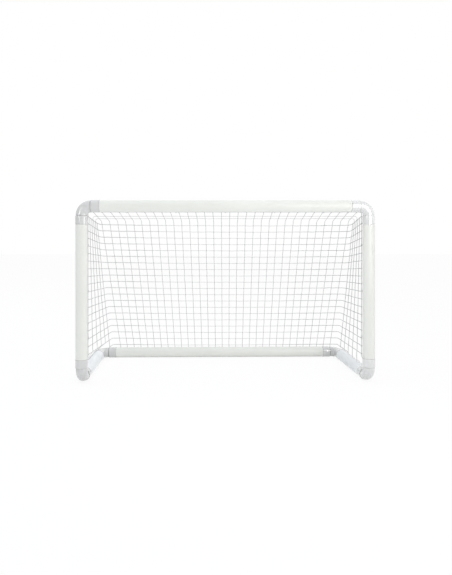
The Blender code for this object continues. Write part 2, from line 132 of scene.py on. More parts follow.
class NetSettings(PropertyGroup):
    """Netting and border cord."""

    strand_diameter: a_length("Strand diameter", "Diameter of the twisted strands of the netting", 0.0028)
    border_diameter: a_length("Border cord diameter", "Diameter of the braided cord round the net's edge", 0.0036)
    columns: IntProperty(
        name="Columns", description="Strands that run over the roof and down the back", default=32, min=2
    )
    slack: a_length("Slack", "How far each stretch between two knots bows", 0.0008)
    strand_colour: a_colour("Strand colour", "Colour of the netting", (0.63, 0.63, 0.63))
    border_colour: a_colour("Border cord colour", "Colour of the border cord", (0.80, 0.80, 0.80))


class StudioSettings(PropertyGroup):
    """Light and floor."""

    ambient: FloatProperty(
        name="Ambient light", description="Strength of the soft light from all round", default=0.82, min=0
    )
    key_power: a_power("Key light", "Power of the soft lamp near the right post", 4.0)
    card_power: a_power("Card light", "Power of the bright card in front of the right post", 6.0)
    side_power: a_power("Side light", "Power of the card to the right of the left post", 3.0)
    strip_power: a_power("Strip light", "Power of the small lamp on the left", 6.5)
    fill_power: a_power("Fill light", "Power of the wide lamp beside the camera", 3.8)
    top_power: a_power("Top light", "Power of the wide soft lamp high on the left", 72)
    top_colour: a_colour("Top light colour", "Colour of the wide soft lamp high on the left", (0.82, 0.92, 1.0))
    floor_colour: a_colour("Floor colour", "Colour of the studio floor", (0.97, 0.97, 0.97))


def settings(name):
    """One of the scene's groups of settings: goal_frame, goal_net or goal_studio."""
    return getattr(bpy.context.scene, name)


# --- Shapes ---------------------------------------------------------------------------------


def unit(vectors):
    """Vectors of length 1, along the last axis."""
    return vectors / np.linalg.norm(vectors, axis=-1, keepdims=True)


# An eased corner has one more point this far before its curve, and one this far after it
LEAD = 0.0003


def eased(corners, reaches, steps=4):
    """A route through corners, each rounded from reach before it to reach after it.

    A corner c between directions to its neighbours a and b becomes the curve
    c + (1-t)^2 reach a + t^2 reach b, with one point a little before and one a little after it.
    The two end points stay as they are.
    """
    corners = np.asarray(corners, float)
    reaches = np.asarray(reaches, float)[:, None, None]
    before = unit(corners[:-2] - corners[1:-1])[:, None]
    after = unit(corners[2:] - corners[1:-1])[:, None]
    t = np.linspace(0, 1, steps + 1)[None, :, None]
    curve = corners[1:-1][:, None] + reaches * ((1 - t) ** 2 * before + t**2 * after)
    lead = corners[1:-1][:, None] + (reaches + LEAD) * before
    follow = corners[1:-1][:, None] + (reaches + LEAD) * after
    middle = np.concatenate([lead, curve, follow], axis=1).reshape(-1, corners.shape[1])
    return np.concatenate([corners[:1], middle, corners[-1:]])


def lengths_along(path, closed=False):
    """Distance along each path from its first point. A closed path gets one more value, its whole length."""
    if closed:
        path = np.concatenate([path, path[:, :1]], axis=1)
    steps = np.linalg.norm(np.diff(path, axis=1), axis=-1)
    return np.concatenate([np.zeros((len(path), 1)), np.cumsum(steps, axis=1)], axis=1)


def circle(sides, radius=1.0):
    """Points (cos a, sin a) times radius, a going once round."""
    a = tau * np.arange(sides) / sides
    return radius * np.stack([np.cos(a), np.sin(a)], axis=-1)


def sweep(path, beside, section, scale=None, closed=False):
    """Rings carried along paths.

    path is (paths, points, 3) and section (sides, 2). At each point the ring lies square to the
    path's tangent t: section x goes along n, the part of beside that is square to t, and section y
    along t x n. scale multiplies the section at each point.
    """
    path = np.asarray(path, float)
    if closed:
        tangent = np.roll(path, -1, axis=1) - np.roll(path, 1, axis=1)
    else:
        tangent = np.gradient(path, axis=1)
    tangent = unit(tangent)
    beside = np.broadcast_to(np.asarray(beside, float), path.shape)
    n = unit(beside - np.sum(beside * tangent, axis=-1, keepdims=True) * tangent)
    b = np.cross(tangent, n)
    scale = np.ones(path.shape[:2]) if scale is None else np.broadcast_to(scale, path.shape[:2])
    x = section[:, 0] * scale[..., None]
    y = section[:, 1] * scale[..., None]
    return path[:, :, None] + x[..., None] * n[:, :, None] + y[..., None] * b[:, :, None]


SHARP_FROM = radians(40)


class Surface:
    """Collects skinned rings and makes one mesh of them."""

    def __init__(self):
        self.points = []
        self.lay = []
        self.faces = []
        self.uvs = []
        self.count = 0

    def skin(self, rings, along, closed=False, lay=None):
        """Quads between neighbouring rings, with caps on an open path. rings is (paths, rings, sides, 3).

        The map's u is the distance along the path and v goes from 0 to 1 round the ring. lay holds
        the points in the piece's own axes, where those aren't the scene's.
        """
        paths, many, sides = rings.shape[:3]
        ring = np.arange(many if closed else many - 1)[None, :, None]
        side = np.arange(sides)[None, None, :]
        start = self.count + np.arange(paths)[:, None, None] * many * sides
        here = start + ring * sides
        there = start + (ring + 1) % many * sides
        turn = (side + 1) % sides
        corners = np.stack([here + side, here + turn, there + turn, there + side], axis=-1)
        u0 = along[:, : ring.size, None] + 0.0 * side
        u1 = along[:, 1 : ring.size + 1, None] + 0.0 * side
        v0 = side / sides + 0.0 * u0
        v1 = (side + 1) / sides + 0.0 * u0
        uv = np.stack(
            [np.stack(pair, axis=-1) for pair in ((u0, v0), (u0, v1), (u1, v1), (u1, v0))], axis=-2
        )
        self.faces.append(corners.reshape(-1, 4))
        self.uvs.append(uv.reshape(-1, 4, 2))
        if not closed:
            first = start[:, 0, 0][:, None]
            order = np.arange(sides)[None]
            last = first + (many - 1) * sides
            for cap, u in ((first + order[:, ::-1], along[:, 0]), (last + order, along[:, many - 1])):
                self.faces.append(cap)
                cap_uv = np.stack([u[:, None] + 0.0 * order, 0.5 + 0.0 * u[:, None] + 0.0 * order], -1)
                self.uvs.append(cap_uv)
        self.points.append(rings.reshape(-1, 3))
        self.lay.append((rings if lay is None else lay).reshape(-1, 3))
        self.count += paths * many * sides

    def finish(self, name):
        """The mesh, shaded smooth but for edges sharper than SHARP_FROM."""
        mesh = bpy.data.meshes.new(name)
        points = np.concatenate(self.points).astype(np.float32)
        loops = np.concatenate([faces.ravel() for faces in self.faces]).astype(np.int32)
        sizes = np.concatenate([np.full(len(faces), faces.shape[1]) for faces in self.faces])
        starts = np.concatenate([[0], np.cumsum(sizes)[:-1]]).astype(np.int32)
        uvs = np.concatenate([uv.reshape(-1, 2) for uv in self.uvs]).astype(np.float32)
        mesh.vertices.add(len(points))
        mesh.vertices.foreach_set("co", points.ravel())
        mesh.loops.add(len(loops))
        mesh.loops.foreach_set("vertex_index", loops)
        mesh.polygons.add(len(starts))
        mesh.polygons.foreach_set("loop_start", starts)
        mesh.uv_layers.new(name="lay").data.foreach_set("uv", uvs.ravel())
        own = mesh.attributes.new("own_place", "FLOAT_VECTOR", "POINT")
        own.data.foreach_set("vector", np.concatenate(self.lay).astype(np.float32).ravel())
        mesh.update(calc_edges=True)
        mesh.validate()
        mesh.shade_smooth()
        mesh.set_sharp_from_angle(angle=SHARP_FROM)
        return mesh


def add_piece(name, mesh, material, slot, *nodes):
    """Puts a finished mesh in the scene as the piece that stands for these CAD nodes."""
    mesh.materials.append(material)
    piece = bpy.data.objects.new(name, mesh)
    bpy.context.scene.collection.objects.link(piece)
    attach(piece, "root")
    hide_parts(*nodes)


# --- Where things are -----------------------------------------------------------------------


def corner(side, y, z):
    """A corner of the frame's middle lines. side is -1 on the left and 1 on the right."""
    return np.array((side * HALF_WIDTH, y, z))


class Run:
    """One tube between two corners, with the side of it that carries the net hooks.

    radial points from its axis to the hooks, and lip is the way that their crooks reach.
    """

    def __init__(self, start, end, radial, lip):
        self.start = start
        self.along = unit(end - start)
        self.radial = radial
        self.lip = lip

    def cord_at(self, place):
        """Where the border cord passes this point of the axis."""
        return place + CORD_OFFSET * self.radial + CROOK_RADIUS * self.lip


def tube_runs():
    """Every tube of the frame, by name."""
    bar, post, rear = (HOOK_ANGLES[name] for name in ("crossbar", "post", "rear"))
    runs = {
        "crossbar": Run(
            corner(-1, FRONT, HIGH),
            corner(1, FRONT, HIGH),
            cos(bar) * BACK - sin(bar) * UP,
            -sin(bar) * BACK - cos(bar) * UP,
        ),
        "rear": Run(
            corner(-1, REAR, LOW),
            corner(1, REAR, LOW),
            cos(rear) * BACK + sin(rear) * UP,
            sin(rear) * BACK - cos(rear) * UP,
        ),
    }
    for name, side in (("left", -1), ("right", 1)):
        inward = -side * RIGHT
        runs[f"{name}_post"] = Run(
            corner(side, FRONT, LOW),
            corner(side, FRONT, HIGH),
            sin(post) * inward + cos(post) * BACK,
            cos(post) * inward - sin(post) * BACK,
        )
        runs[f"{name}_side"] = Run(corner(side, FRONT, LOW), corner(side, REAR, LOW), -inward, -UP)
    return runs


RUNS = tube_runs()
FRONT_CORD = RUNS["crossbar"].cord_at(np.array((0, FRONT, HIGH)))
REAR_CORD = RUNS["rear"].cord_at(np.array((0, REAR, LOW)))
BEND = np.array((0, FRONT + ROOF_DEPTH, HIGH - ROOF_DROP))
ROOF_LENGTH = float(np.linalg.norm(BEND - FRONT_CORD))
BACK_LENGTH = float(np.linalg.norm(REAR_CORD - BEND))
ROOF_ALONG = unit(BEND - FRONT_CORD)
BACK_ALONG = unit(REAR_CORD - BEND)


def side_name(side):
    """Left for -1 and right for 1."""
    return "left" if side < 0 else "right"


def hook_places(name, count):
    """A tube's CAD hooks, each with the point of the axis that it stands at."""
    run = RUNS[name]
    nodes = [f"{name}_net_hook_{number + 1}" for number in range(count)]
    return [(node, run.start + (middle_of(node) - run.start) @ run.along * run.along) for node in nodes]


# The border cord crosses a front elbow's rear collar this far before the collar's end, at this angle from straight
# up, and reaches the side tube's outer side this far on
CORD_BEFORE_COLLAR_END = 0.0155
CORD_OVER_SIDE = radians(50)
CORD_CROSSING = 0.020
# Rounding of its corners
CORD_CORNER = 0.012


def border_route():
    """The border cord's middle line, once round, starting at the middle of the crossbar and going left."""
    low = corner(-1, FRONT, LOW)
    post = RUNS["left_post"].cord_at(low)
    held = RUNS["left_side"].cord_at(low)
    over = COLLAR_END - CORD_BEFORE_COLLAR_END
    outward = CORD_OFFSET * (cos(CORD_OVER_SIDE) * UP - sin(CORD_OVER_SIDE) * RIGHT)
    corners = [
        FRONT_CORD,
        (post[0], FRONT_CORD[1], FRONT_CORD[2]),
        (post[0], post[1], HIGH - COLLAR_END),
        (post[0], post[1], LOW + COLLAR_END),
        low + over * BACK + outward,
        held + (over + CORD_CROSSING) * BACK,
        (held[0], REAR_CORD[1] - COLLAR_END, held[2]),
        (held[0], REAR_CORD[1], (held[2] + REAR_CORD[2]) / 2),
        (held[0] + COLLAR_END, REAR_CORD[1], REAR_CORD[2]),
        REAR_CORD,
    ]
    crossing = CORD_CROSSING / 2
    round_rear = COLLAR_END - CORD_CORNER
    reaches = [CORD_CORNER, CORD_CORNER, CORD_CORNER, crossing, crossing, CORD_CORNER, round_rear, CORD_CORNER]
    left = eased(corners, reaches, steps=12)
    right = left[::-1] * (-1, 1, 1)
    return np.concatenate([left[:-1], right[:-1]])


BORDER = border_route()

# Places of the net's middle column and its pitch, and of its side corners, at the crossbar, bend and rear cord
FALL_PLACES = (0.0, ROOF_LENGTH, ROOF_LENGTH + BACK_LENGTH)
COLUMN_MIDDLES = (0.0012, 0.0077, 0.0389)
COLUMN_PITCHES = (0.0430, 0.04193, 0.04166)
HALF_WIDTHS = (0.6932, 0.6658, 0.6895)
BEND_ROUNDING = 0.006
# Rounding of a row at the net's corners, in the top row and in the last one
CORNER_ROUNDINGS = (0.024, 0.007)
# Girths beside the columns': the rows of the roof are pulled thinner, the rows of the back are thin in the
# middle and thick at the corners, and the sides are thick
ROOF_ROW_GIRTH = 0.67
BACK_ROW_GIRTHS = ((0.3, 0.5), (0.72, 1.2))
SIDE_ROW_GIRTH = 1.25
SIDE_STRAND_GIRTH = 1.1
# How far the rows sag at the middle of the back, and how much higher their left ends are
ROW_SAG = 0.0055
LEFT_LIFT = 0.005
# Distance of back row k below the bend, as a polynomial in k, highest power first
BACK_ROW_PLACES = (0.0000029, 0.0002746, 0.0378454, 0.0234491)
STRETCH_STEPS = 5
# Steps of a row's rounded corner. With its ends and leads the corner has TURN_POINTS points, and the middle of a
# row's first corner is point TURN_MIDDLE
ROW_TURN_STEPS = 8
TURN_POINTS = ROW_TURN_STEPS + 3
TURN_MIDDLE = 2 + ROW_TURN_STEPS // 2
ROOF_TURN_STEPS = 6
ROOF_CORNER_ROUNDING = 0.014
# Steps between a row's last knot and its end
BACK_END_STEPS = 6
ROOF_END_STEPS = 12
SIDE_END_STEPS = 8
# The border cord's rear stretch is within this distance of the rear cord
AT_REAR = 0.02


def fall(t):
    """Points on the net's middle line, t along it from the crossbar cord over the bend to the rear cord."""
    corners = np.array([FRONT_CORD, BEND, REAR_CORD])
    route = eased(corners, [BEND_ROUNDING], steps=8)
    along = lengths_along(route[None])[0]
    return on_route(route, along * (FALL_PLACES[-1] / along[-1]), t)


def column_x(t):
    """X of every column (first axis) at the places t (second axis)."""
    count = settings("goal_net").columns
    number = np.arange(count)[:, None] - (count - 1) / 2
    return np.interp(t, FALL_PLACES, COLUMN_MIDDLES) + number * np.interp(t, FALL_PLACES, COLUMN_PITCHES)


def columns(t):
    """X of every column at the places t, and its points there."""
    x = column_x(t)
    return x, fall(t) + x[..., None] * RIGHT


def edge_x(side, t):
    """X of the net's corner on this side at the places t."""
    return np.interp(t, FALL_PLACES, COLUMN_MIDDLES) * (t > 0) + side * np.interp(t, FALL_PLACES, HALF_WIDTHS)


def back_row_t():
    """Places of the back's rows along the fall."""
    return ROOF_LENGTH + np.polyval(BACK_ROW_PLACES, np.arange(BACK_ROWS))


def row_sag(x):
    """How far down the back a row has sagged at x: ROW_SAG (1 - (x / half width)^2)."""
    return ROW_SAG * np.maximum(1 - (x / HALF_WIDTHS[1]) ** 2, 0)[..., None] * BACK_ALONG


def row_lift(x):
    """How far up the back a row is lifted at x: LEFT_LIFT at the left corner, going evenly to 0 at the right."""
    return -LEFT_LIFT * (0.5 - 0.5 * x / HALF_WIDTHS[1])[..., None] * BACK_ALONG


def between(knots, steps=STRETCH_STEPS):
    """Each stretch between two knots cut into steps. knots is (..., n)."""
    share = np.arange(steps) / steps
    inner = knots[..., :-1, None] + share * np.diff(knots, axis=-1)[..., None]
    return np.concatenate([inner.reshape(*knots.shape[:-1], -1), knots[..., -1:]], axis=-1)


def with_ends(first, knots, last, steps):
    """Distances from first over all knots to last, with both end stretches cut into steps."""
    lead = np.linspace(first, knots[0], steps + 1)[:-1]
    follow = np.linspace(knots[-1], last, steps + 1)[1:]
    return np.concatenate([lead, between(knots), follow])


def bowed(path, one_way, other_way, draw, first=0, last=0):
    """A path whose stretches between knots bow a little, slack sin(pi s), each its own way.

    first and last count extra points before the first knot and after the last one.
    """
    slack = settings("goal_net").slack
    many = path.shape[1] - first - last
    stretches = (many - 1) // STRETCH_STEPS
    share = np.arange(many) % STRETCH_STEPS / STRETCH_STEPS
    which = np.minimum(np.arange(many) // STRETCH_STEPS, stretches - 1)
    bow = slack * np.sin(pi * share)[None, :, None]
    random = draw.uniform(-1, 1, (2, len(path), stretches))[:, :, which, None]
    made = path.copy()
    end = path.shape[1] - last
    made[:, first:end] += bow * (random[0] * one_way + random[1] * other_way)
    return made


class Netting(Surface):
    """Strands, knots and end loops of one panel of the net."""

    SIDES = 6
    # In strand radii, along a knot
    KNOT_OFFSETS = (-2.6, -1.5, 0, 1.5, 2.6)
    KNOT_GIRTHS = (0.45, 1.3, 1.6, 1.3, 0.45)
    LOOP_GAP = 0.0003
    LOOP_POINTS = 10
    LOOP_GIRTH = 0.9

    def __init__(self):
        super().__init__()
        self.radius = settings("goal_net").strand_diameter / 2
        self.loop = settings("goal_net").border_diameter / 2 + self.radius + self.LOOP_GAP

    def strands(self, path, beside, girth=1.0):
        """A strand along each path. girth multiplies its radius."""
        rings = sweep(path, beside, circle(self.SIDES, self.radius), girth)
        self.skin(rings, lengths_along(path))

    def knots(self, places, along, beside):
        """An egg-shaped knot at each place, with the radii KNOT_GIRTHS at KNOT_OFFSETS along it."""
        along, beside = (np.broadcast_to(way, places.shape).reshape(-1, 3) for way in (along, beside))
        offsets = self.radius * np.array(self.KNOT_OFFSETS)
        path = places.reshape(-1, 1, 3) + offsets[None, :, None] * along[:, None]
        rings = sweep(path, beside[:, None], circle(self.SIDES, self.radius), np.array(self.KNOT_GIRTHS))
        self.skin(rings, lengths_along(path))

    def loops(self, centres, toward, axis):
        """A closed ring round the border cord at each centre, and the knot that ties it."""
        centres = centres.reshape(-1, 3)
        toward = unit(np.broadcast_to(toward, centres.shape))
        axis = unit(np.broadcast_to(axis, centres.shape))
        other = np.cross(axis, toward)
        turn = circle(self.LOOP_POINTS, self.loop)
        path = centres[:, None] + turn[:, 0, None] * toward[:, None] + turn[:, 1, None] * other[:, None]
        rings = sweep(path, axis[:, None], circle(self.SIDES, self.radius * self.LOOP_GIRTH), closed=True)
        self.skin(rings, lengths_along(path, closed=True), closed=True)
        self.knots(centres - (self.loop + self.radius) * toward, toward, axis)


def row_route(side, k):
    """Corners of a row's way from the post's cord over the net's corner: its two ends on this side."""
    t = back_row_t()[k]
    post = RUNS[f"{side_name(side)}_post"].cord_at(corner(side, FRONT, LOW))
    hump = SIDE_ROW_HUMP * sin(pi * (k / (BACK_ROWS - 1)) ** SIDE_ROW_HUMP_SKEW)
    start = np.array((post[0], post[1], SIDE_ROW_TOP - k * SIDE_ROW_PITCH + hump))
    turn = fall(t) + edge_x(side, t) * RIGHT - (LEFT_LIFT if side < 0 else 0) * BACK_ALONG
    return start, turn


def whole_row(k):
    """One row, from the left post's cord round both corners to the right post's, with its lengths."""
    left, left_turn = row_route(-1, k)
    right, right_turn = row_route(1, k)
    rounding = np.interp(k, (0, BACK_ROWS - 1), CORNER_ROUNDINGS)
    route = eased([left, left_turn, right_turn, right], [rounding] * 2, ROW_TURN_STEPS)
    return route, lengths_along(route[None])[0]


def on_route(route, along, s):
    """Points of a route at the distances s along it."""
    return np.stack([np.interp(s, along, route[:, axis]) for axis in range(3)], axis=-1)


def back_netting():
    """The back: its columns, its rows between the middles of the corners, knots and foot loops."""
    net = Netting()
    draw = np.random.default_rng(11)
    normal = np.cross(BACK_ALONG, RIGHT)
    rows = back_row_t()
    end = FALL_PLACES[-1]
    t = between(np.concatenate([[ROOF_LENGTH], rows, [end - net.loop]]))
    x, path = columns(t)
    foot = x[:, -1]
    # Near the corners the rear cord leaves its straight line, and the columns' feet follow it
    border = BORDER[BORDER[:, 1] > REAR_CORD[1] - AT_REAR]
    border = border[np.argsort(border[:, 0])]
    sunk = np.stack([0 * foot] + [np.interp(foot, border[:, 0], border[:, a]) - REAR_CORD[a] for a in (1, 2)], -1)
    ramp = np.clip((t - rows[-1]) / (end - rows[-1]), 0, 1)
    path = path + ramp[None, :, None] * sunk[:, None]
    net.strands(bowed(path, RIGHT, normal, draw), RIGHT)
    centres = REAR_CORD + foot[:, None] * RIGHT + sunk
    net.loops(centres, BACK_ALONG, RIGHT)
    row_x, crossings = columns(rows)
    net.knots(crossings + row_sag(row_x) + row_lift(row_x), BACK_ALONG, RIGHT)
    for k in range(BACK_ROWS):
        route, along = whole_row(k)
        s_knots = along[TURN_POINTS] + column_x(rows[k : k + 1])[:, 0] - route[TURN_POINTS][0]
        s = with_ends(along[TURN_MIDDLE], s_knots, along[TURN_POINTS + TURN_MIDDLE], BACK_END_STEPS)
        path = on_route(route, along, s)[None]
        path = path + row_sag(path[..., 0])
        girth = np.interp(np.abs(path[..., 0]), *BACK_ROW_GIRTHS)
        path = bowed(path, BACK_ALONG, normal, draw, first=BACK_END_STEPS, last=BACK_END_STEPS)
        net.strands(path, normal, girth)
    return net.finish("back_netting")


def roof_netting():
    """The roof: its columns, and rows whose ends turn down over the sides to the first side row."""
    net = Netting()
    draw = np.random.default_rng(12)
    normal = np.cross(ROOF_ALONG, RIGHT)
    rows = np.array(ROOF_ROW_PLACES)
    t = between(np.concatenate([[net.loop], rows, [ROOF_LENGTH]]))
    net.strands(bowed(columns(t)[1], RIGHT, normal, draw), RIGHT)
    net.loops(FRONT_CORD + column_x(np.zeros(1))[:, :1] * RIGHT, -ROOF_ALONG, RIGHT)
    net.knots(columns(rows)[1], ROOF_ALONG, RIGHT)
    for t_row in rows:
        share = t_row / ROOF_LENGTH
        ends = []
        for side in (-1, 1):
            start, turn = row_route(side, 0)
            ends.append((start + share * (turn - start), fall(t_row) + edge_x(side, t_row) * RIGHT))
        (low_left, left), (low_right, right) = ends
        route = eased([low_left, left, right, low_right], [ROOF_CORNER_ROUNDING] * 2, ROOF_TURN_STEPS)
        along = lengths_along(route[None])[0]
        turned = ROOF_TURN_STEPS + 3
        s_knots = along[turned] + column_x(np.array([t_row]))[:, 0] - route[turned][0]
        path = on_route(route, along, with_ends(0, s_knots, along[-1], ROOF_END_STEPS))[None]
        path = bowed(path, ROOF_ALONG, normal, draw, first=ROOF_END_STEPS, last=ROOF_END_STEPS)
        net.strands(path, ROOF_ALONG, ROOF_ROW_GIRTH)
        for end, way in ((low_left, low_left - left), (low_right, low_right - right)):
            net.knots(end[None], unit(way), BACK)
    return net.finish("roof_netting")


# How close a strand passes over a side tube's axis, and how high above it a hanging strand lets go of its plane
OVER_TUBE_RADIUS = 0.0325
OVER_TUBE_POINTS = 9
HANG_TO = 0.042
HANG_STEPS = 3
# A strand is drawn thinner over the tube, and thins over this many points before it
TAIL_GIRTH = 0.6
THINNING_POINTS = 4
# How far the last row reaches past the last strand that it ties
STUB = 0.004
# The net leans to the right. Counted from the back, so many strands of each side hang down to the last row
# before they turn over the tube, and so many of them the last row still ties
HANGING = {-1: 1, 1: 5}
TIED_LOW = {-1: 1, 1: 3}


def row_from_post(side, k):
    """A whole row and its lengths, starting at this side's post."""
    route, along = whole_row(k)
    return (route, along) if side < 0 else (route[::-1], along[-1] - along[::-1])


def over_tube(side, start, cord, short):
    """A strand's way from start over a side tube to its cord, square to the tube.

    It meets the circle of OVER_TUBE_RADIUS round the axis at its tangent from start, at the angle
    phi - acos(radius / distance), follows it to the tangent towards the cord and stops short of that.
    """
    axis = np.array((side * HALF_WIDTH, start[1], LOW))
    angles = []
    for point, turn in ((start, -1), (cord, 1)):
        out, up = side * (point - axis)[0], (point - axis)[2]
        angles.append(np.arctan2(up, out) + turn * np.arccos(OVER_TUBE_RADIUS / np.hypot(out, up)))
    a = np.linspace(*angles, OVER_TUBE_POINTS)[:, None]
    arc = axis + OVER_TUBE_RADIUS * (np.cos(a) * side * RIGHT + np.sin(a) * UP)
    return np.concatenate([arc, (cord - short * unit(cord - arc[-1]))[None]])


def side_netting(side):
    """One side: rows from the post's cord to the corner, strands that pass over the side tube to its cord."""
    net = Netting()
    draw = np.random.default_rng(13 + side)
    held = RUNS[f"{side_name(side)}_side"].cord_at(corner(side, FRONT, LOW))
    shares = np.arange(1, SIDE_STRANDS + 1) / (SIDE_STRANDS + 1)
    starts, turns = (np.array(made) for made in zip(*(row_route(side, k) for k in range(BACK_ROWS))))
    crossings = starts[None] + shares[:, None, None] * (turns - starts)[None]
    along_row = unit(turns - starts)
    down = unit(crossings[:, -1] - crossings[:, 0])
    normal = unit(np.cross(along_row[BACK_ROWS // 2 - 1], down[SIDE_STRANDS // 2]))
    for k in range(BACK_ROWS):
        route, along = row_from_post(side, k)
        span = np.linalg.norm(turns[k] - starts[k])
        s_knots = np.concatenate([[net.loop], shares * span])
        if k == BACK_ROWS - 1:
            s_knots = s_knots[-TIED_LOW[side] - 1 :]
            s_knots[0] = s_knots[1] - STUB
        follow = np.linspace(s_knots[-1], along[TURN_MIDDLE], SIDE_END_STEPS + 1)[1:]
        path = on_route(route, along, np.concatenate([between(s_knots), follow]))[None]
        net.strands(bowed(path, UP, normal, draw, last=SIDE_END_STEPS), normal, SIDE_ROW_GIRTH)
    net.loops(starts[:-1], -along_row[:-1], UP)
    net.knots(crossings[:, :-1], down[:, None], BACK)
    net.knots(crossings[-TIED_LOW[side] :, -1], down[-TIED_LOW[side] :], BACK)
    cords, ways = [], []
    for m in range(SIDE_STRANDS):
        rows = BACK_ROWS if m >= SIDE_STRANDS - HANGING[side] else BACK_ROWS - 1
        knots = between(np.arange(float(rows)))
        path = np.stack([np.interp(knots, np.arange(rows), crossings[m, :rows, a]) for a in range(3)], axis=-1)
        if rows == BACK_ROWS:
            let_go = path[-1] * (1, 1, 0) + (LOW + HANG_TO) * UP
            path = np.concatenate([path, np.linspace(path[-1], let_go, HANG_STEPS + 1)[1:]])
        cord = np.array((held[0], path[-1][1], held[2]))
        tail = over_tube(side, path[-1], cord, net.loop)
        thins = (len(path) - THINNING_POINTS, len(path))
        girth = np.interp(np.arange(len(path) + len(tail)), thins, (SIDE_STRAND_GIRTH, TAIL_GIRTH))
        extra = len(tail) + (HANG_STEPS if rows == BACK_ROWS else 0)
        net.strands(bowed(np.concatenate([path, tail])[None], BACK, normal, draw, last=extra), BACK, girth)
        cords.append(cord)
        ways.append(cord - tail[-2])
    net.loops(np.array(cords), np.array(ways), BACK)
    return net.finish(f"{side_name(side)}_side_netting")


# --- Materials ------------------------------------------------------------------------------


def add_node(tree, kind, inputs=None, **values):
    """A node with its settings; each input is a value or the output that feeds it."""
    node = tree.nodes.new(kind)
    for name, value in values.items():
        setattr(node, name, value)
    for key, value in (inputs or {}).items():
        if isinstance(value, bpy.types.NodeSocket):
            tree.links.new(value, node.inputs[key])
        else:
            node.inputs[key].default_value = value
    return node


def math_node(tree, operation, *values):
    node = add_node(tree, "ShaderNodeMath", dict(enumerate(values)), operation=operation)
    return node.outputs[0]


def ramp_node(tree, value, low, high, to_low=0.0, to_high=1.0):
    """Value mapped from low..high to to_low..to_high and held there."""
    inputs = {"Value": value, "From Min": low, "From Max": high, "To Min": to_low, "To Max": to_high}
    return add_node(tree, "ShaderNodeMapRange", inputs).outputs["Result"]


def noise_node(tree, vector, scale, detail, roughness=0.5):
    """Noise from 0 to 1."""
    inputs = {"Vector": vector, "Scale": scale, "Detail": detail, "Roughness": roughness}
    return add_node(tree, "ShaderNodeTexNoise", inputs).outputs["Fac"]


def added(tree, value, extra, times):
    """value + extra times."""
    return math_node(tree, "ADD", value, math_node(tree, "MULTIPLY", extra, times))


def bumped(tree, surface, height, distance, strength):
    """Feeds a bump of this height to the surface's normal."""
    bump = add_node(tree, "ShaderNodeBump", {"Height": height, "Distance": distance, "Strength": strength})
    tree.links.new(bump.outputs["Normal"], surface.inputs["Normal"])


def new_group(name, inputs, outputs):
    """A shader group with float or vector sockets. inputs maps a name to its type and default."""
    group = bpy.data.node_groups.new(name, "ShaderNodeTree")
    for socket, (kind, default) in inputs.items():
        made = group.interface.new_socket(name=socket, in_out="INPUT", socket_type=kind)
        if default is not None:
            made.default_value = default
    for socket, kind in outputs.items():
        group.interface.new_socket(name=socket, in_out="OUTPUT", socket_type=kind)
    return group, group.nodes.new("NodeGroupInput"), group.nodes.new("NodeGroupOutput")


FLOAT = "NodeSocketFloat"
VECTOR = "NodeSocketVector"


def handling_marks():
    """Group: scuffs of handling that lie in patches, a slow mottle and a fine grain, all from noises."""
    if "handling marks" in bpy.data.node_groups:
        return bpy.data.node_groups["handling marks"]
    sockets = {"Vector": (VECTOR, None), "Scuff Amount": (FLOAT, 0.3)}
    group, source, out = new_group("handling marks", sockets, {"Scuffs": FLOAT, "Mottle": FLOAT, "Grain": FLOAT})
    vector = source.outputs["Vector"]
    turned = add_node(group, "ShaderNodeMapping", {"Vector": vector, "Rotation": (0.5, 0.9, 0.4), "Scale": (1, 5, 1)})
    fine = ramp_node(group, noise_node(group, turned.outputs[0], 60.0, 4.0, 0.6), 0.60, 0.72)
    patches = ramp_node(group, noise_node(group, vector, 9.0, 2.0), 0.50, 0.68)
    marks = math_node(group, "MULTIPLY", fine, patches)
    made = {
        "Scuffs": math_node(group, "MULTIPLY", marks, source.outputs["Scuff Amount"]),
        "Mottle": noise_node(group, vector, 4.0, 3.0),
        "Grain": noise_node(group, vector, 900.0, 2.0),
    }
    for name, value in made.items():
        group.links.new(value, out.inputs[name])
    return group


def cord_lay():
    """Group: the ridges of strands laid at a slant round a cord, |cos(pi (u / Pitch + Strands v))|."""
    if "cord lay" in bpy.data.node_groups:
        return bpy.data.node_groups["cord lay"]
    sockets = {"Map": (VECTOR, None), "Pitch": (FLOAT, 0.01), "Strands": (FLOAT, 3.0)}
    group, source, out = new_group("cord lay", sockets, {"Height": FLOAT})
    split = add_node(group, "ShaderNodeSeparateXYZ", {"Vector": source.outputs["Map"]})
    turns = math_node(group, "DIVIDE", split.outputs["X"], source.outputs["Pitch"])
    around = math_node(group, "MULTIPLY", split.outputs["Y"], source.outputs["Strands"])
    phase = math_node(group, "MULTIPLY", math_node(group, "ADD", turns, around), pi)
    ridge = math_node(group, "ABSOLUTE", math_node(group, "COSINE", phase))
    group.links.new(ridge, out.inputs["Height"])
    return group


def new_material(name, **shader):
    """A material and its Principled BSDF, with plain values on the shader's own sockets."""
    material = bpy.data.materials.new(name)
    material.use_nodes = True
    surface = material.node_tree.nodes["Principled BSDF"]
    for socket, value in shader.items():
        surface.inputs[socket.replace("_", " ")].default_value = value
    return material, material.node_tree, surface


def tinted(tree, colour, darker, mask):
    """colour, going to colour times darker where mask is 1."""
    # The Mix node's factor is its socket 0, and its two colours are 6 and 7
    inputs = {0: mask, 6: (*colour, 1), 7: (*(channel * darker for channel in colour), 1)}
    return add_node(tree, "ShaderNodeMix", inputs, data_type="RGBA", clamp_factor=False).outputs[2]


# One shade darker: the colour is multiplied by this
SHADE = 0.93


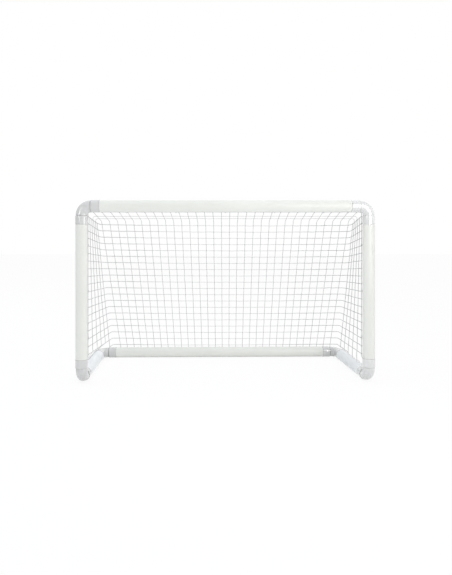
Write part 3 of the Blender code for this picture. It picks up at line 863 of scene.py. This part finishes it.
def plastic(
    name, colour, roughness, own_place, specular=0.5, coat=0.0, die_lines=0.0, orange_peel=0.0, scuffs=0.3, seam=None
):
    """Moulded or extruded plastic: mottle and scuffs in the colour, grain and draw lines in the bump. Given a seam,
    also each point's tone and painted shading, with painted shade in the neck.
    """
    if name in bpy.data.materials:
        return bpy.data.materials[name]
    material, tree, surface = new_material(name, Specular_IOR_Level=specular, Coat_Weight=coat, Coat_Roughness=0.11)
    if own_place:
        place = add_node(tree, "ShaderNodeAttribute", attribute_name="own_place").outputs["Vector"]
    else:
        place = add_node(tree, "ShaderNodeTexCoord").outputs["Object"]
    marks = add_node(tree, "ShaderNodeGroup", node_tree=handling_marks())
    tree.links.new(place, marks.inputs["Vector"])
    marks.inputs["Scuff Amount"].default_value = scuffs
    mottled = ramp_node(tree, marks.outputs["Mottle"], 0.35, 0.65, 0.0, 0.35)
    shade = math_node(tree, "ADD", mottled, marks.outputs["Scuffs"])
    if seam:
        # Each point's tone and painted shading: all over partly tone and partly painted light and shade, and in the
        # neck's recess painted shade (painted light where below 0)
        soiling = add_node(tree, "ShaderNodeAttribute", attribute_name="soiling").outputs["Vector"]
        amounts = add_node(tree, "ShaderNodeSeparateXYZ", {"Vector": soiling}).outputs
        split = add_node(tree, "ShaderNodeSeparateXYZ", {"Vector": place})
        off = math_node(tree, "SUBTRACT", math_node(tree, "ABSOLUTE", split.outputs["Z"]), seam)
        # The neck's recess, where the painted shade lies
        neck = ramp_node(tree, math_node(tree, "ABSOLUTE", off), 0.0010, 0.0017, 1.0, 0.0)
        shade = math_node(tree, "ADD", shade, added(tree, amounts["X"], neck, amounts["Y"]))
    tree.links.new(tinted(tree, colour, SHADE, shade), surface.inputs["Base Color"])
    rough = added(tree, roughness, marks.outputs["Scuffs"], 0.25)
    tree.links.new(rough, surface.inputs["Roughness"])
    height = math_node(tree, "MULTIPLY", marks.outputs["Grain"], 0.15)
    if die_lines:
        drawn = add_node(tree, "ShaderNodeMapping", {"Vector": place, "Scale": (1.0, 1.0, 0.004)}).outputs[0]
        height = added(tree, height, noise_node(tree, drawn, 700.0, 2.0), die_lines)
    if orange_peel:
        height = added(tree, height, noise_node(tree, place, 120.0, 1.0), orange_peel)
    bumped(tree, surface, height, 0.00012, 0.5)
    return material


def cord_material(name, colour, pitch, strands, braided):
    """Twisted or braided fibre: slanting strands in the bump, painted shade in the hollows between them and loose
    fibre.
    """
    if name in bpy.data.materials:
        return bpy.data.materials[name]
    material, tree, surface = new_material(name, Roughness=0.75, Sheen_Weight=0.15, Specular_IOR_Level=0.3)
    place = add_node(tree, "ShaderNodeUVMap", uv_map="lay").outputs["UV"]
    heights = []
    for turned in ((pitch, -pitch) if braided else (pitch,)):
        lay = add_node(tree, "ShaderNodeGroup", node_tree=cord_lay())
        tree.links.new(place, lay.inputs["Map"])
        lay.inputs["Pitch"].default_value = turned
        lay.inputs["Strands"].default_value = strands
        heights.append(lay.outputs["Height"])
    height = math_node(tree, "MULTIPLY", *heights) if braided else heights[0]
    drawn = add_node(tree, "ShaderNodeMapping", {"Vector": place, "Scale": (120.0, 20.0, 1.0)}).outputs[0]
    fibre = noise_node(tree, drawn, 6.0, 3.0)
    # Painted shade in the hollows between the strands, where the ridges are low
    painted_hollow_shade = ramp_node(tree, height, 0.0, 0.5, 1.0, 0.0)
    shade = math_node(tree, "ADD", painted_hollow_shade, ramp_node(tree, fibre, 0.4, 0.7, 0.0, 0.4))
    tree.links.new(tinted(tree, colour, 0.72, math_node(tree, "MINIMUM", shade, 1.0)), surface.inputs["Base Color"])
    bumped(tree, surface, added(tree, height, fibre, 0.25), 0.0005, 0.8)
    return material


def tube_plastic(kind):
    """Satin plastic of the tubes. Those at the sides are painted lighter and bluer than the others: painted light
    from above.
    """
    sizes = settings("goal_frame")
    colour = sizes.side_tube_painted_light_colour if kind == "side" else sizes.tube_colour
    return plastic(f"satin_{kind}_tube_plastic", colour, 0.46, True, 0.35, die_lines=1.0, scuffs=0.35)


def elbow_plastic():
    """Glossy plastic of the elbows, with painted shading. Its seam is the middle of a neck, measured from the middle
    of the bend.
    """
    colour = settings("goal_frame").elbow_colour
    seam = BEND_RADIUS * pi / 4 + NECK_WIDTH / 2
    return plastic("gloss_elbow_plastic", colour, 0.13, True, 0.8, 0.7, orange_peel=0.12, scuffs=0.25, seam=seam)


def hook_plastic():
    return plastic("moulded_hook_plastic", settings("goal_frame").hook_colour, 0.38, False, orange_peel=0.3)


def net_cord():
    return cord_material("twisted_net_cord", settings("goal_net").strand_colour, 0.009, 3.0, False)


def border_cord():
    return cord_material("braided_border_cord", settings("goal_net").border_colour, 0.007, 4.0, True)


# --- Pieces ---------------------------------------------------------------------------------


TUBE_SIDES = 96
TUBE_EDGE_EASE = 0.0007


def lathed(profile, sides):
    """Rings of a profile (z, r) turned round the z axis: (r cos a, r sin a, z) for a full turn."""
    rings = np.empty((1, len(profile), sides, 3))
    rings[..., :2] = profile[:, 1, None, None] * circle(sides)
    rings[..., 2] = profile[:, 0, None]
    return rings


def tube_rings(length, outer, bore):
    """Rings of an open tube along z, once round its wall with eased edges, and the distance along them."""
    half = length / 2
    wall = [(-half, outer), (half, outer), (half, bore), (-half, bore)]
    corners = [(0, outer), *wall[1:], wall[0], (0, outer)]
    profile = eased(corners, [TUBE_EDGE_EASE] * 4)[:-1]
    return lathed(profile, TUBE_SIDES), lengths_along(profile[None], closed=True)


def place_rings(rings, x_axis, y_axis, place):
    """Rings whose own axes are turned to x_axis, y_axis and their cross product, and moved to place."""
    return place + rings @ np.stack([x_axis, y_axis, np.cross(x_axis, y_axis)])


# Each end of a tube stops this far short of its collar, beyond the frame's own gap
END_GAP = 0.0006
TUBES = {
    "crossbar_tube": ("crossbar_pipe", 0, BACK, UP),
    "rear_tube": ("rear_pipe", 0, BACK, UP),
    "left_post_tube": ("left_post_pipe", 2, RIGHT, BACK),
    "right_post_tube": ("right_post_pipe", 2, RIGHT, BACK),
    "left_side_tube": ("left_side_pipe", 1, UP, RIGHT),
    "right_side_tube": ("right_side_pipe", 1, UP, RIGHT),
}


def add_tubes():
    outer = settings("goal_frame").tube_diameter / 2
    bore = outer - settings("goal_frame").tube_wall
    for node, (name, axis, x_axis, y_axis) in TUBES.items():
        low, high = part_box(node)
        rings, along = tube_rings(high[axis] - low[axis] - 2 * END_GAP, outer, bore)
        made = Surface()
        made.skin(place_rings(rings, x_axis, y_axis, middle_of(node)), along, closed=True, lay=rings)
        # The side tubes take the lighter, bluer copy of the plastic: painted light from above
        kind = "side" if "side" in node else "mouth_and_rear"
        add_piece(name, made.finish(name), tube_plastic(kind), "tube_plastic", node)


# Elbow, along each arm from the end of the bend
BEND_RADIUS = 0.046
COLLAR_LENGTH = COLLAR_END - BEND_RADIUS
NECK_WIDTH = 0.0026
NECK_RADIUS = 0.0262
SPIGOT_RADIUS = 0.0271
SPIGOT_END = COLLAR_LENGTH + 0.055
SPIGOT_BORE = 0.0247
PARTING_RIDGE = 0.00012
RIDGE_ANGLE = 0.02
ELBOW_SIDES = 72
BEND_POINTS = 25
# Roundings of an arm's corners, from the spigot's mouth to the bend
ARM_EASE = (0.0004, 0.0005, 0.0003, 0.0010, 0.0010, 0.0004, 0.0004, 0.0006)


def ridged_circle():
    """Angles round an elbow, closer together beside the two parting lines at 0 and pi, and the ridge there."""
    even = tau * np.arange(ELBOW_SIDES) / ELBOW_SIDES
    extra = np.array((-0.022, -0.008, 0.008, 0.022))
    angles = np.sort(np.concatenate([even, extra % tau, extra + pi]))
    return angles, np.clip(1 - np.abs(np.sin(angles)) / RIDGE_ANGLE, 0, 1)


def elbow_rings():
    """Rings of an elbow with its corner at the origin and its arms along +x and +y.

    Outside, an arm's radius runs over spigot, collar and neck; the bend is a quarter turn of
    radius BEND_RADIUS; inside, the bore follows the same middle line back.
    """
    sizes = settings("goal_frame")
    collar = sizes.collar_diameter / 2
    bend = sizes.bend_diameter / 2
    profile = [
        (SPIGOT_END, SPIGOT_BORE),
        (SPIGOT_END, SPIGOT_RADIUS - 0.0012),
        (SPIGOT_END - 0.003, SPIGOT_RADIUS),
        (COLLAR_LENGTH, SPIGOT_RADIUS),
        (COLLAR_LENGTH, collar),
        (NECK_WIDTH, collar),
        (NECK_WIDTH - 0.0004, NECK_RADIUS),
        (0.0008, NECK_RADIUS),
        (0.0003, bend),
        (-0.001, bend),
    ]
    arm = eased(profile, ARM_EASE)[:-1]
    turned = np.linspace(0, pi / 2, BEND_POINTS)
    outward = -np.sin(turned)[:, None] * RIGHT - np.cos(turned)[:, None] * BACK
    middle = BEND_RADIUS * (RIGHT + BACK) + BEND_RADIUS * outward
    one_arm = (BEND_RADIUS + arm[:, :1]) * RIGHT
    other_arm = (BEND_RADIUS + arm[::-1, :1]) * BACK
    centres = np.concatenate([one_arm, middle, other_arm, middle[::-1]])
    facing = np.concatenate([0 * one_arm - BACK, outward, 0 * other_arm - RIGHT, outward[::-1]])
    radius = np.concatenate([arm[:, 1], 0 * turned + bend, arm[::-1, 1], 0 * turned + SPIGOT_BORE])
    half_way = BEND_RADIUS * pi / 4
    reach = BEND_RADIUS * (turned - pi / 4)
    own_z = np.concatenate([-half_way - arm[:, 0], reach, half_way + arm[::-1, 0], reach[::-1]])
    angles, ridge = ridged_circle()
    outside = (radius > SPIGOT_RADIUS + 0.0005).astype(float)
    spread = radius[:, None] + PARTING_RIDGE * outside[:, None] * ridge
    x = spread * np.cos(angles)
    y = spread * np.sin(angles)
    rings = centres[:, None] + x[..., None] * facing[:, None] + y[..., None] * UP
    own = np.stack([x, y, np.broadcast_to(own_z[:, None], x.shape)], axis=-1)
    return rings[None], own[None]


ELBOWS = {
    "top_left_elbow": (corner(-1, FRONT, HIGH), RIGHT, -UP),
    "top_right_elbow": (corner(1, FRONT, HIGH), -RIGHT, -UP),
    "front_left_elbow": (corner(-1, FRONT, LOW), UP, BACK),
    "front_right_elbow": (corner(1, FRONT, LOW), UP, BACK),
    "rear_left_elbow": (corner(-1, REAR, LOW), -BACK, RIGHT),
    "rear_right_elbow": (corner(1, REAR, LOW), -BACK, -RIGHT),
}


# How much darker each elbow is painted, in shades: all over, partly its own tone and partly painted light and shade,
# lightest on the lit right side; and how much more in its first arm's neck and in its other one's: painted shade in
# the recess, and painted light where the number is below 0
ELBOW_TONE_AND_PAINTED_SHADING = {
    "top_left_elbow": (2.3, 4.0, 2.0),
    "top_right_elbow": (0.5, -0.5, -0.5),
    "front_left_elbow": (2.2, -2.2, 0.5),
    "front_right_elbow": (0.4, -0.8, 0.5),
    "rear_left_elbow": (0.9, 8.0, 9.0),
    "rear_right_elbow": (1.1, 5.0, 6.0),
}
# Painted shade near the ground: this much darker at its level, and less up to this height
GROUND_PAINTED_SHADE = 2.0
PAINTED_SHADE_HEIGHT = 0.1


def add_elbows():
    rings, own = elbow_rings()
    along = lengths_along(rings[:, :, 0], closed=True)
    for node, (place, one_arm, other_arm) in ELBOWS.items():
        name = node.replace("elbow", "bend_fitting")
        placed = place_rings(rings, one_arm, other_arm, place)
        made = Surface()
        made.skin(placed, along, closed=True, lay=own)
        mesh = made.finish(name)
        over_all, first_neck_painted_shade, other_neck_painted_shade = ELBOW_TONE_AND_PAINTED_SHADING[node]
        # Painted shade near the ground, fading out with height
        over_all = over_all + GROUND_PAINTED_SHADE * np.clip(1 - placed[..., 2].ravel() / PAINTED_SHADE_HEIGHT, 0, 1)
        # Painted shade in each neck's recess, and painted light where the number is below 0
        neck_painted_shades = np.where(own[..., 2].ravel() < 0, first_neck_painted_shade, other_neck_painted_shade)
        soiling = np.stack([over_all, neck_painted_shades, 0 * neck_painted_shades], axis=-1)
        kept = mesh.attributes.new("soiling", "FLOAT_VECTOR", "POINT")
        kept.data.foreach_set("vector", soiling.astype(np.float32).ravel())
        add_piece(name, mesh, elbow_plastic(), "elbow_plastic", node)


HOOK_WIDTH = 0.006
HOOK_THICKNESS = 0.0024
HOOK_REACH = 0.010
HOOK_LIP = 0.002
HOOK_SHARP_FROM = radians(38)
FLANGE_RADIUS = 0.0065
FLANGE_TOP = 0.0023
# The strap starts this far inside the flange, stands straight up to this height, and its section's sine and
# cosine are raised to this power, which squares it
STRAP_SUNK = 0.0012
STRAP_FOOT = 0.006
STRAP_SQUARING = 0.35
STRAP_TIP_GIRTHS = (0.93, 0.8, 0.55)
# (z, r) of the stud from its tip over the snap head and the neck in the tube's wall to the flange, and the
# roundings of the corners between its ends
STUD = (
    (-0.0062, 0.0),
    (-0.0062, 0.002),
    (-0.0034, 0.0039),
    (-0.0034, 0.003),
    (0.0003, 0.003),
    (0.0003, FLANGE_RADIUS),
    (FLANGE_TOP, FLANGE_RADIUS),
    (FLANGE_TOP, 0.0),
)
STUD_EASE = (0.0004, 0.0004, 0.0002, 0.0002, 0.0003, 0.0007)
POLE_RADIUS = 0.0004
CROOK_POINTS = 17
STRAP_SIDES = 24
STUD_SIDES = 32


def hook_pattern():
    """A net hook: a rounded strap carried up, round a half circle and down, on a lathed flange and stud.

    Its stud points down -z into the tube, and its crook holds a cord that runs along x.
    """
    half = HOOK_THICKNESS / 2
    turn = np.linspace(0, pi, CROOK_POINTS)
    across = CROOK_RADIUS - CROOK_RADIUS * np.cos(turn)
    arc = np.stack([0 * turn, across, HOOK_REACH + CROOK_RADIUS * np.sin(turn)], axis=-1)
    foot = np.array([(0, 0, FLANGE_TOP - STRAP_SUNK), (0, 0, STRAP_FOOT)])
    low = HOOK_REACH - HOOK_LIP
    tip = np.array([(0, 2 * CROOK_RADIUS, low + rise) for rise in (half, 0.0004, 0.0001, 0)])
    path = np.concatenate([foot, arc, tip])[None]
    around = circle(STRAP_SIDES)
    section = np.sign(around) * np.abs(around) ** STRAP_SQUARING * (HOOK_WIDTH / 2, half)
    girth = np.ones(path.shape[1])
    girth[-3:] = STRAP_TIP_GIRTHS
    strap = Surface()
    strap.skin(sweep(path, RIGHT, section, girth), lengths_along(path))
    profile = eased(STUD, STUD_EASE, steps=3)
    profile[[0, -1], 1] = POLE_RADIUS
    stud = Surface()
    stud.skin(lathed(profile, STUD_SIDES), lengths_along(profile[None]))
    objects = []
    for made, name in ((strap, "hook_strap"), (stud, "hook_stud")):
        piece = bpy.data.objects.new(name, made.finish(name))
        bpy.context.scene.collection.objects.link(piece)
        objects.append(piece)
    union = objects[1].modifiers.new("strap", "BOOLEAN")
    union.operation = "UNION"
    union.object = objects[0]
    graph = bpy.context.evaluated_depsgraph_get()
    mesh = bpy.data.meshes.new_from_object(objects[1].evaluated_get(graph))
    for piece in objects:
        bpy.data.objects.remove(piece)
    mesh.set_sharp_from_angle(angle=HOOK_SHARP_FROM)
    return mesh


HOOKS = {"crossbar": 5, "rear": 5, "left_post": 3, "right_post": 3, "left_side": 2, "right_side": 2}


def add_hooks():
    pattern = hook_pattern()
    count = len(pattern.vertices)
    flat = np.empty(count * 3, np.float32)
    pattern.vertices.foreach_get("co", flat)
    points = flat.reshape(-1, 3).astype(float)
    for run_name, many in HOOKS.items():
        run = RUNS[run_name]
        base = settings("goal_frame").tube_diameter / 2
        for node, place in hook_places(run_name, many):
            mesh = pattern.copy()
            turned = place_rings(points, np.cross(run.lip, run.radial), run.lip, place + base * run.radial)
            mesh.vertices.foreach_set("co", turned.astype(np.float32).ravel())
            mesh.update()
            mesh.name = node.replace("net_hook", "cord_clip")
            add_piece(mesh.name, mesh, hook_plastic(), "hook_plastic", node)


BORDER_SIDES = 18
# The border cord runs this way nowhere
OFF_BORDER = unit(np.array((1.0, 1.0, 1.0)))


def add_border_cord():
    radius = settings("goal_net").border_diameter / 2
    path = BORDER[None]
    made = Surface()
    rings = sweep(path, OFF_BORDER, circle(BORDER_SIDES, radius), closed=True)
    made.skin(rings, lengths_along(path, closed=True), closed=True)
    add_piece("border_rope", made.finish("border_rope"), border_cord(), "border_cord", "net_border_cord")


# --- Studio ---------------------------------------------------------------------------------

# The photograph is 452 by 575; its camera has this focal length and middle in those pixels
IMAGE_SIZE = (452, 575)
FOCAL_LENGTH = 485.9
PRINCIPAL_POINT = (198.5, 238.8)
CAMERA_PLACE = (-0.172, -2.7011, 0.721)
CAMERA_YAW = radians(0.84)
CAMERA_ROLL = radians(0.03)
SENSOR_WIDTH = 36
FLOOR_SIZE = 40.0
FLOOR_HEIGHT = -0.0003
FLOOR_WHITE = 0.9
# Sides of the studio and how much more light than the rest they give: the white wall behind the goal,
# the bright side on its right and the dark side to the left of the camera
STUDIO_SIDES = (
    ((0.2, 1.0, 0.2), 0.2),
    ((1.0, -0.1, 0.15), 0.25),
    ((-0.88, -0.45, 0.0), -0.35),
    ((-0.9, 0.4, 0.0), -0.2),
)
WHITE = (1, 1, 1)
# Each lamp's name, place, target, width, height and the light that it shows in
LAMPS = (
    ("key", (0.99, -1.56, 0.92), (1.9, 0.0, 0.9), 0.65, 0.3, "gloss"),
    ("card", (0.92, -1.0, 0.93), (0.92, 0.0, 0.93), 0.75, 0.8, "gloss"),
    ("side", (0.2, -0.4, 0.9), (-0.72, -0.4, 0.9), 1.5, 0.9, "gloss"),
    ("strip", (-1.92, -2.15, 1.27), (-0.72, -0.3, 0.86), 0.45, 0.7, "gloss"),
    ("fill", (0.45, -1.6, 1.1), (0.25, -0.2, 0.6), 1.0, 0.5, "plain"),
    ("top", (-2.6, -0.3, 5.2), (0.4, 0.0, 0.2), 3.0, 3.0, "plain"),
)


def add_camera():
    data = bpy.data.cameras.new("camera")
    data.sensor_width = SENSOR_WIDTH
    data.lens = SENSOR_WIDTH * FOCAL_LENGTH / max(IMAGE_SIZE)
    data.shift_x = (IMAGE_SIZE[0] / 2 - PRINCIPAL_POINT[0]) / max(IMAGE_SIZE)
    data.shift_y = (PRINCIPAL_POINT[1] - IMAGE_SIZE[1] / 2) / max(IMAGE_SIZE)
    data.clip_end = 100
    camera = bpy.data.objects.new("camera", data)
    camera.location = CAMERA_PLACE
    camera.rotation_euler = (pi / 2, CAMERA_ROLL, -CAMERA_YAW)
    bpy.context.scene.collection.objects.link(camera)
    bpy.context.scene.camera = camera


def add_lamp(name, power, colour, place, target, width, height, shows):
    """A soft lamp that lights either in gloss or in plain light, so that each can have its own level."""
    data = bpy.data.lights.new(name, "AREA")
    data.shape = "RECTANGLE"
    data.size = width
    data.size_y = height
    data.energy = power
    data.color = colour
    lamp = bpy.data.objects.new(name, data)
    lamp.location = place
    lamp.visible_camera = False
    lamp.visible_glossy = shows == "gloss"
    lamp.visible_diffuse = shows == "plain"
    lamp.rotation_euler = (Vector(target) - Vector(place)).to_track_quat("-Z", "Y").to_euler()
    bpy.context.scene.collection.objects.link(lamp)


def seen_plainly(tree):
    """1 for rays that the camera, a gloss or a glass sees straight, else 0."""
    path = add_node(tree, "ShaderNodeLightPath")
    seen = math_node(tree, "MAXIMUM", path.outputs["Is Camera Ray"], path.outputs["Is Glossy Ray"])
    return math_node(tree, "MAXIMUM", seen, path.outputs["Is Transmission Ray"])


def add_floor():
    """A pale floor. Seen plainly it is mostly even white, and the rest of it keeps the goal's shadow."""
    mesh = bpy.data.meshes.new("floor")
    half = FLOOR_SIZE / 2
    corners = [(x, y, FLOOR_HEIGHT) for x, y in ((-half, -half), (half, -half), (half, half), (-half, half))]
    mesh.from_pydata(corners, [], [(0, 1, 2, 3)])
    floor = bpy.data.objects.new("floor", mesh)
    bpy.context.scene.collection.objects.link(floor)
    material, tree, surface = new_material("pale_floor", Roughness=0.8, Specular_IOR_Level=0.0)
    place = add_node(tree, "ShaderNodeTexCoord").outputs["Object"]
    colour = tinted(tree, settings("goal_studio").floor_colour, 0.985, noise_node(tree, place, 1.5, 2.0))
    tree.links.new(colour, surface.inputs["Base Color"])
    white = add_node(tree, "ShaderNodeEmission")
    share = math_node(tree, "MULTIPLY", seen_plainly(tree), FLOOR_WHITE)
    mixed = add_node(tree, "ShaderNodeMixShader", {0: share, 1: surface.outputs[0], 2: white.outputs[0]})
    tree.links.new(mixed.outputs[0], tree.nodes["Material Output"].inputs["Surface"])
    mesh.materials.append(material)


def add_world():
    """Soft light from all round, dimmer on the dark side; seen straight it is white."""
    world = bpy.data.worlds.new("studio")
    world.use_nodes = True
    tree = world.node_tree
    background = tree.nodes["Background"]
    background.inputs["Color"].default_value = (1, 1, 1, 1)
    way = add_node(tree, "ShaderNodeTexCoord").outputs["Generated"]
    level = 1.0
    for towards, gain in STUDIO_SIDES:
        inputs = {0: way, 1: tuple(unit(np.array(towards)))}
        dot = add_node(tree, "ShaderNodeVectorMath", inputs, operation="DOT_PRODUCT").outputs["Value"]
        facing = math_node(tree, "POWER", math_node(tree, "MAXIMUM", dot, 0.0), 2.0)
        level = added(tree, level, facing, gain)
    path = add_node(tree, "ShaderNodeLightPath")
    gloss = ramp_node(tree, path.outputs["Is Glossy Ray"], 0.0, 1.0, settings("goal_studio").ambient, 1.0)
    light = math_node(tree, "MULTIPLY", level, gloss)
    seen = math_node(tree, "MAXIMUM", path.outputs["Is Camera Ray"], path.outputs["Is Transmission Ray"])
    inputs = {0: seen, 2: light, 3: 1.0}
    strength = add_node(tree, "ShaderNodeMix", inputs, data_type="FLOAT").outputs[0]
    tree.links.new(strength, background.inputs["Strength"])
    bpy.context.scene.world = world


# --- Operators ------------------------------------------------------------------------------


class GoalOperator(Operator):
    """What the goal's operators share"""

    bl_options = {"REGISTER", "UNDO"}


class GOAL_OT_tubes(GoalOperator):
    """Add the six satin tubes of the frame"""

    bl_idname = "goal.tubes"
    bl_label = "Tubes"

    def execute(self, context):
        add_tubes()
        return {"FINISHED"}


class GOAL_OT_elbows(GoalOperator):
    """Add the six glossy elbows that join the tubes"""

    bl_idname = "goal.elbows"
    bl_label = "Elbows"

    def execute(self, context):
        add_elbows()
        return {"FINISHED"}


class GOAL_OT_hooks(GoalOperator):
    """Add the hooks that hold the border cord"""

    bl_idname = "goal.hooks"
    bl_label = "Net hooks"

    def execute(self, context):
        add_hooks()
        return {"FINISHED"}


class GOAL_OT_border_cord(GoalOperator):
    """Add the braided cord round the net's edge"""

    bl_idname = "goal.border_cord"
    bl_label = "Border cord"

    def execute(self, context):
        add_border_cord()
        return {"FINISHED"}


class GOAL_OT_netting(GoalOperator):
    """Add the roof, back and sides of the net"""

    bl_idname = "goal.netting"
    bl_label = "Netting"

    def execute(self, context):
        add_piece("roof_netting", roof_netting(), net_cord(), "net_cord", "roof_net")
        add_piece("back_netting", back_netting(), net_cord(), "net_cord", "back_net")
        for side in (-1, 1):
            name = side_name(side)
            add_piece(f"{name}_side_netting", side_netting(side), net_cord(), "net_cord", f"{name}_side_net")
        return {"FINISHED"}


class GOAL_OT_studio(GoalOperator):
    """Add the floor, the lamps and the camera"""

    bl_idname = "goal.studio"
    bl_label = "Studio"

    def execute(self, context):
        studio = settings("goal_studio")
        add_floor()
        add_world()
        for name, *lamp in LAMPS:
            add_lamp(name, getattr(studio, f"{name}_power"), getattr(studio, f"{name}_colour", WHITE), *lamp)
        add_camera()
        context.scene.view_settings.view_transform = "Standard"
        return {"FINISHED"}


class GOAL_PT_sidebar(Panel):
    """Sizes, colours and the steps that build the goal"""

    bl_label = "Free-standing goal"
    bl_idname = "GOAL_PT_sidebar"
    bl_space_type = "VIEW_3D"
    bl_region_type = "UI"
    bl_category = "Goal"

    def draw(self, context):
        layout = self.layout
        for title, name in (("Frame", "goal_frame"), ("Net", "goal_net"), ("Studio", "goal_studio")):
            group = getattr(context.scene, name)
            box = layout.box()
            box.label(text=title)
            for setting in group.__annotations__:
                box.prop(group, setting)
        for operator in OPERATORS:
            layout.operator(operator.bl_idname)


SETTINGS = {"goal_frame": FrameSettings, "goal_net": NetSettings, "goal_studio": StudioSettings}
OPERATORS = (GOAL_OT_tubes, GOAL_OT_elbows, GOAL_OT_hooks, GOAL_OT_border_cord, GOAL_OT_netting, GOAL_OT_studio)
CLASSES = (*SETTINGS.values(), *OPERATORS, GOAL_PT_sidebar)


def register():
    for cls in CLASSES:
        bpy.utils.register_class(cls)
    for name, cls in SETTINGS.items():
        setattr(bpy.types.Scene, name, PointerProperty(type=cls))


def unregister():
    for name in SETTINGS:
        delattr(bpy.types.Scene, name)
    for cls in reversed(CLASSES):
        bpy.utils.unregister_class(cls)


def main():
    register()
    bpy.ops.goal.tubes()
    bpy.ops.goal.elbows()
    bpy.ops.goal.hooks()
    bpy.ops.goal.border_cord()
    bpy.ops.goal.netting()
    bpy.ops.goal.studio()


if __name__ == "__main__":
    main()
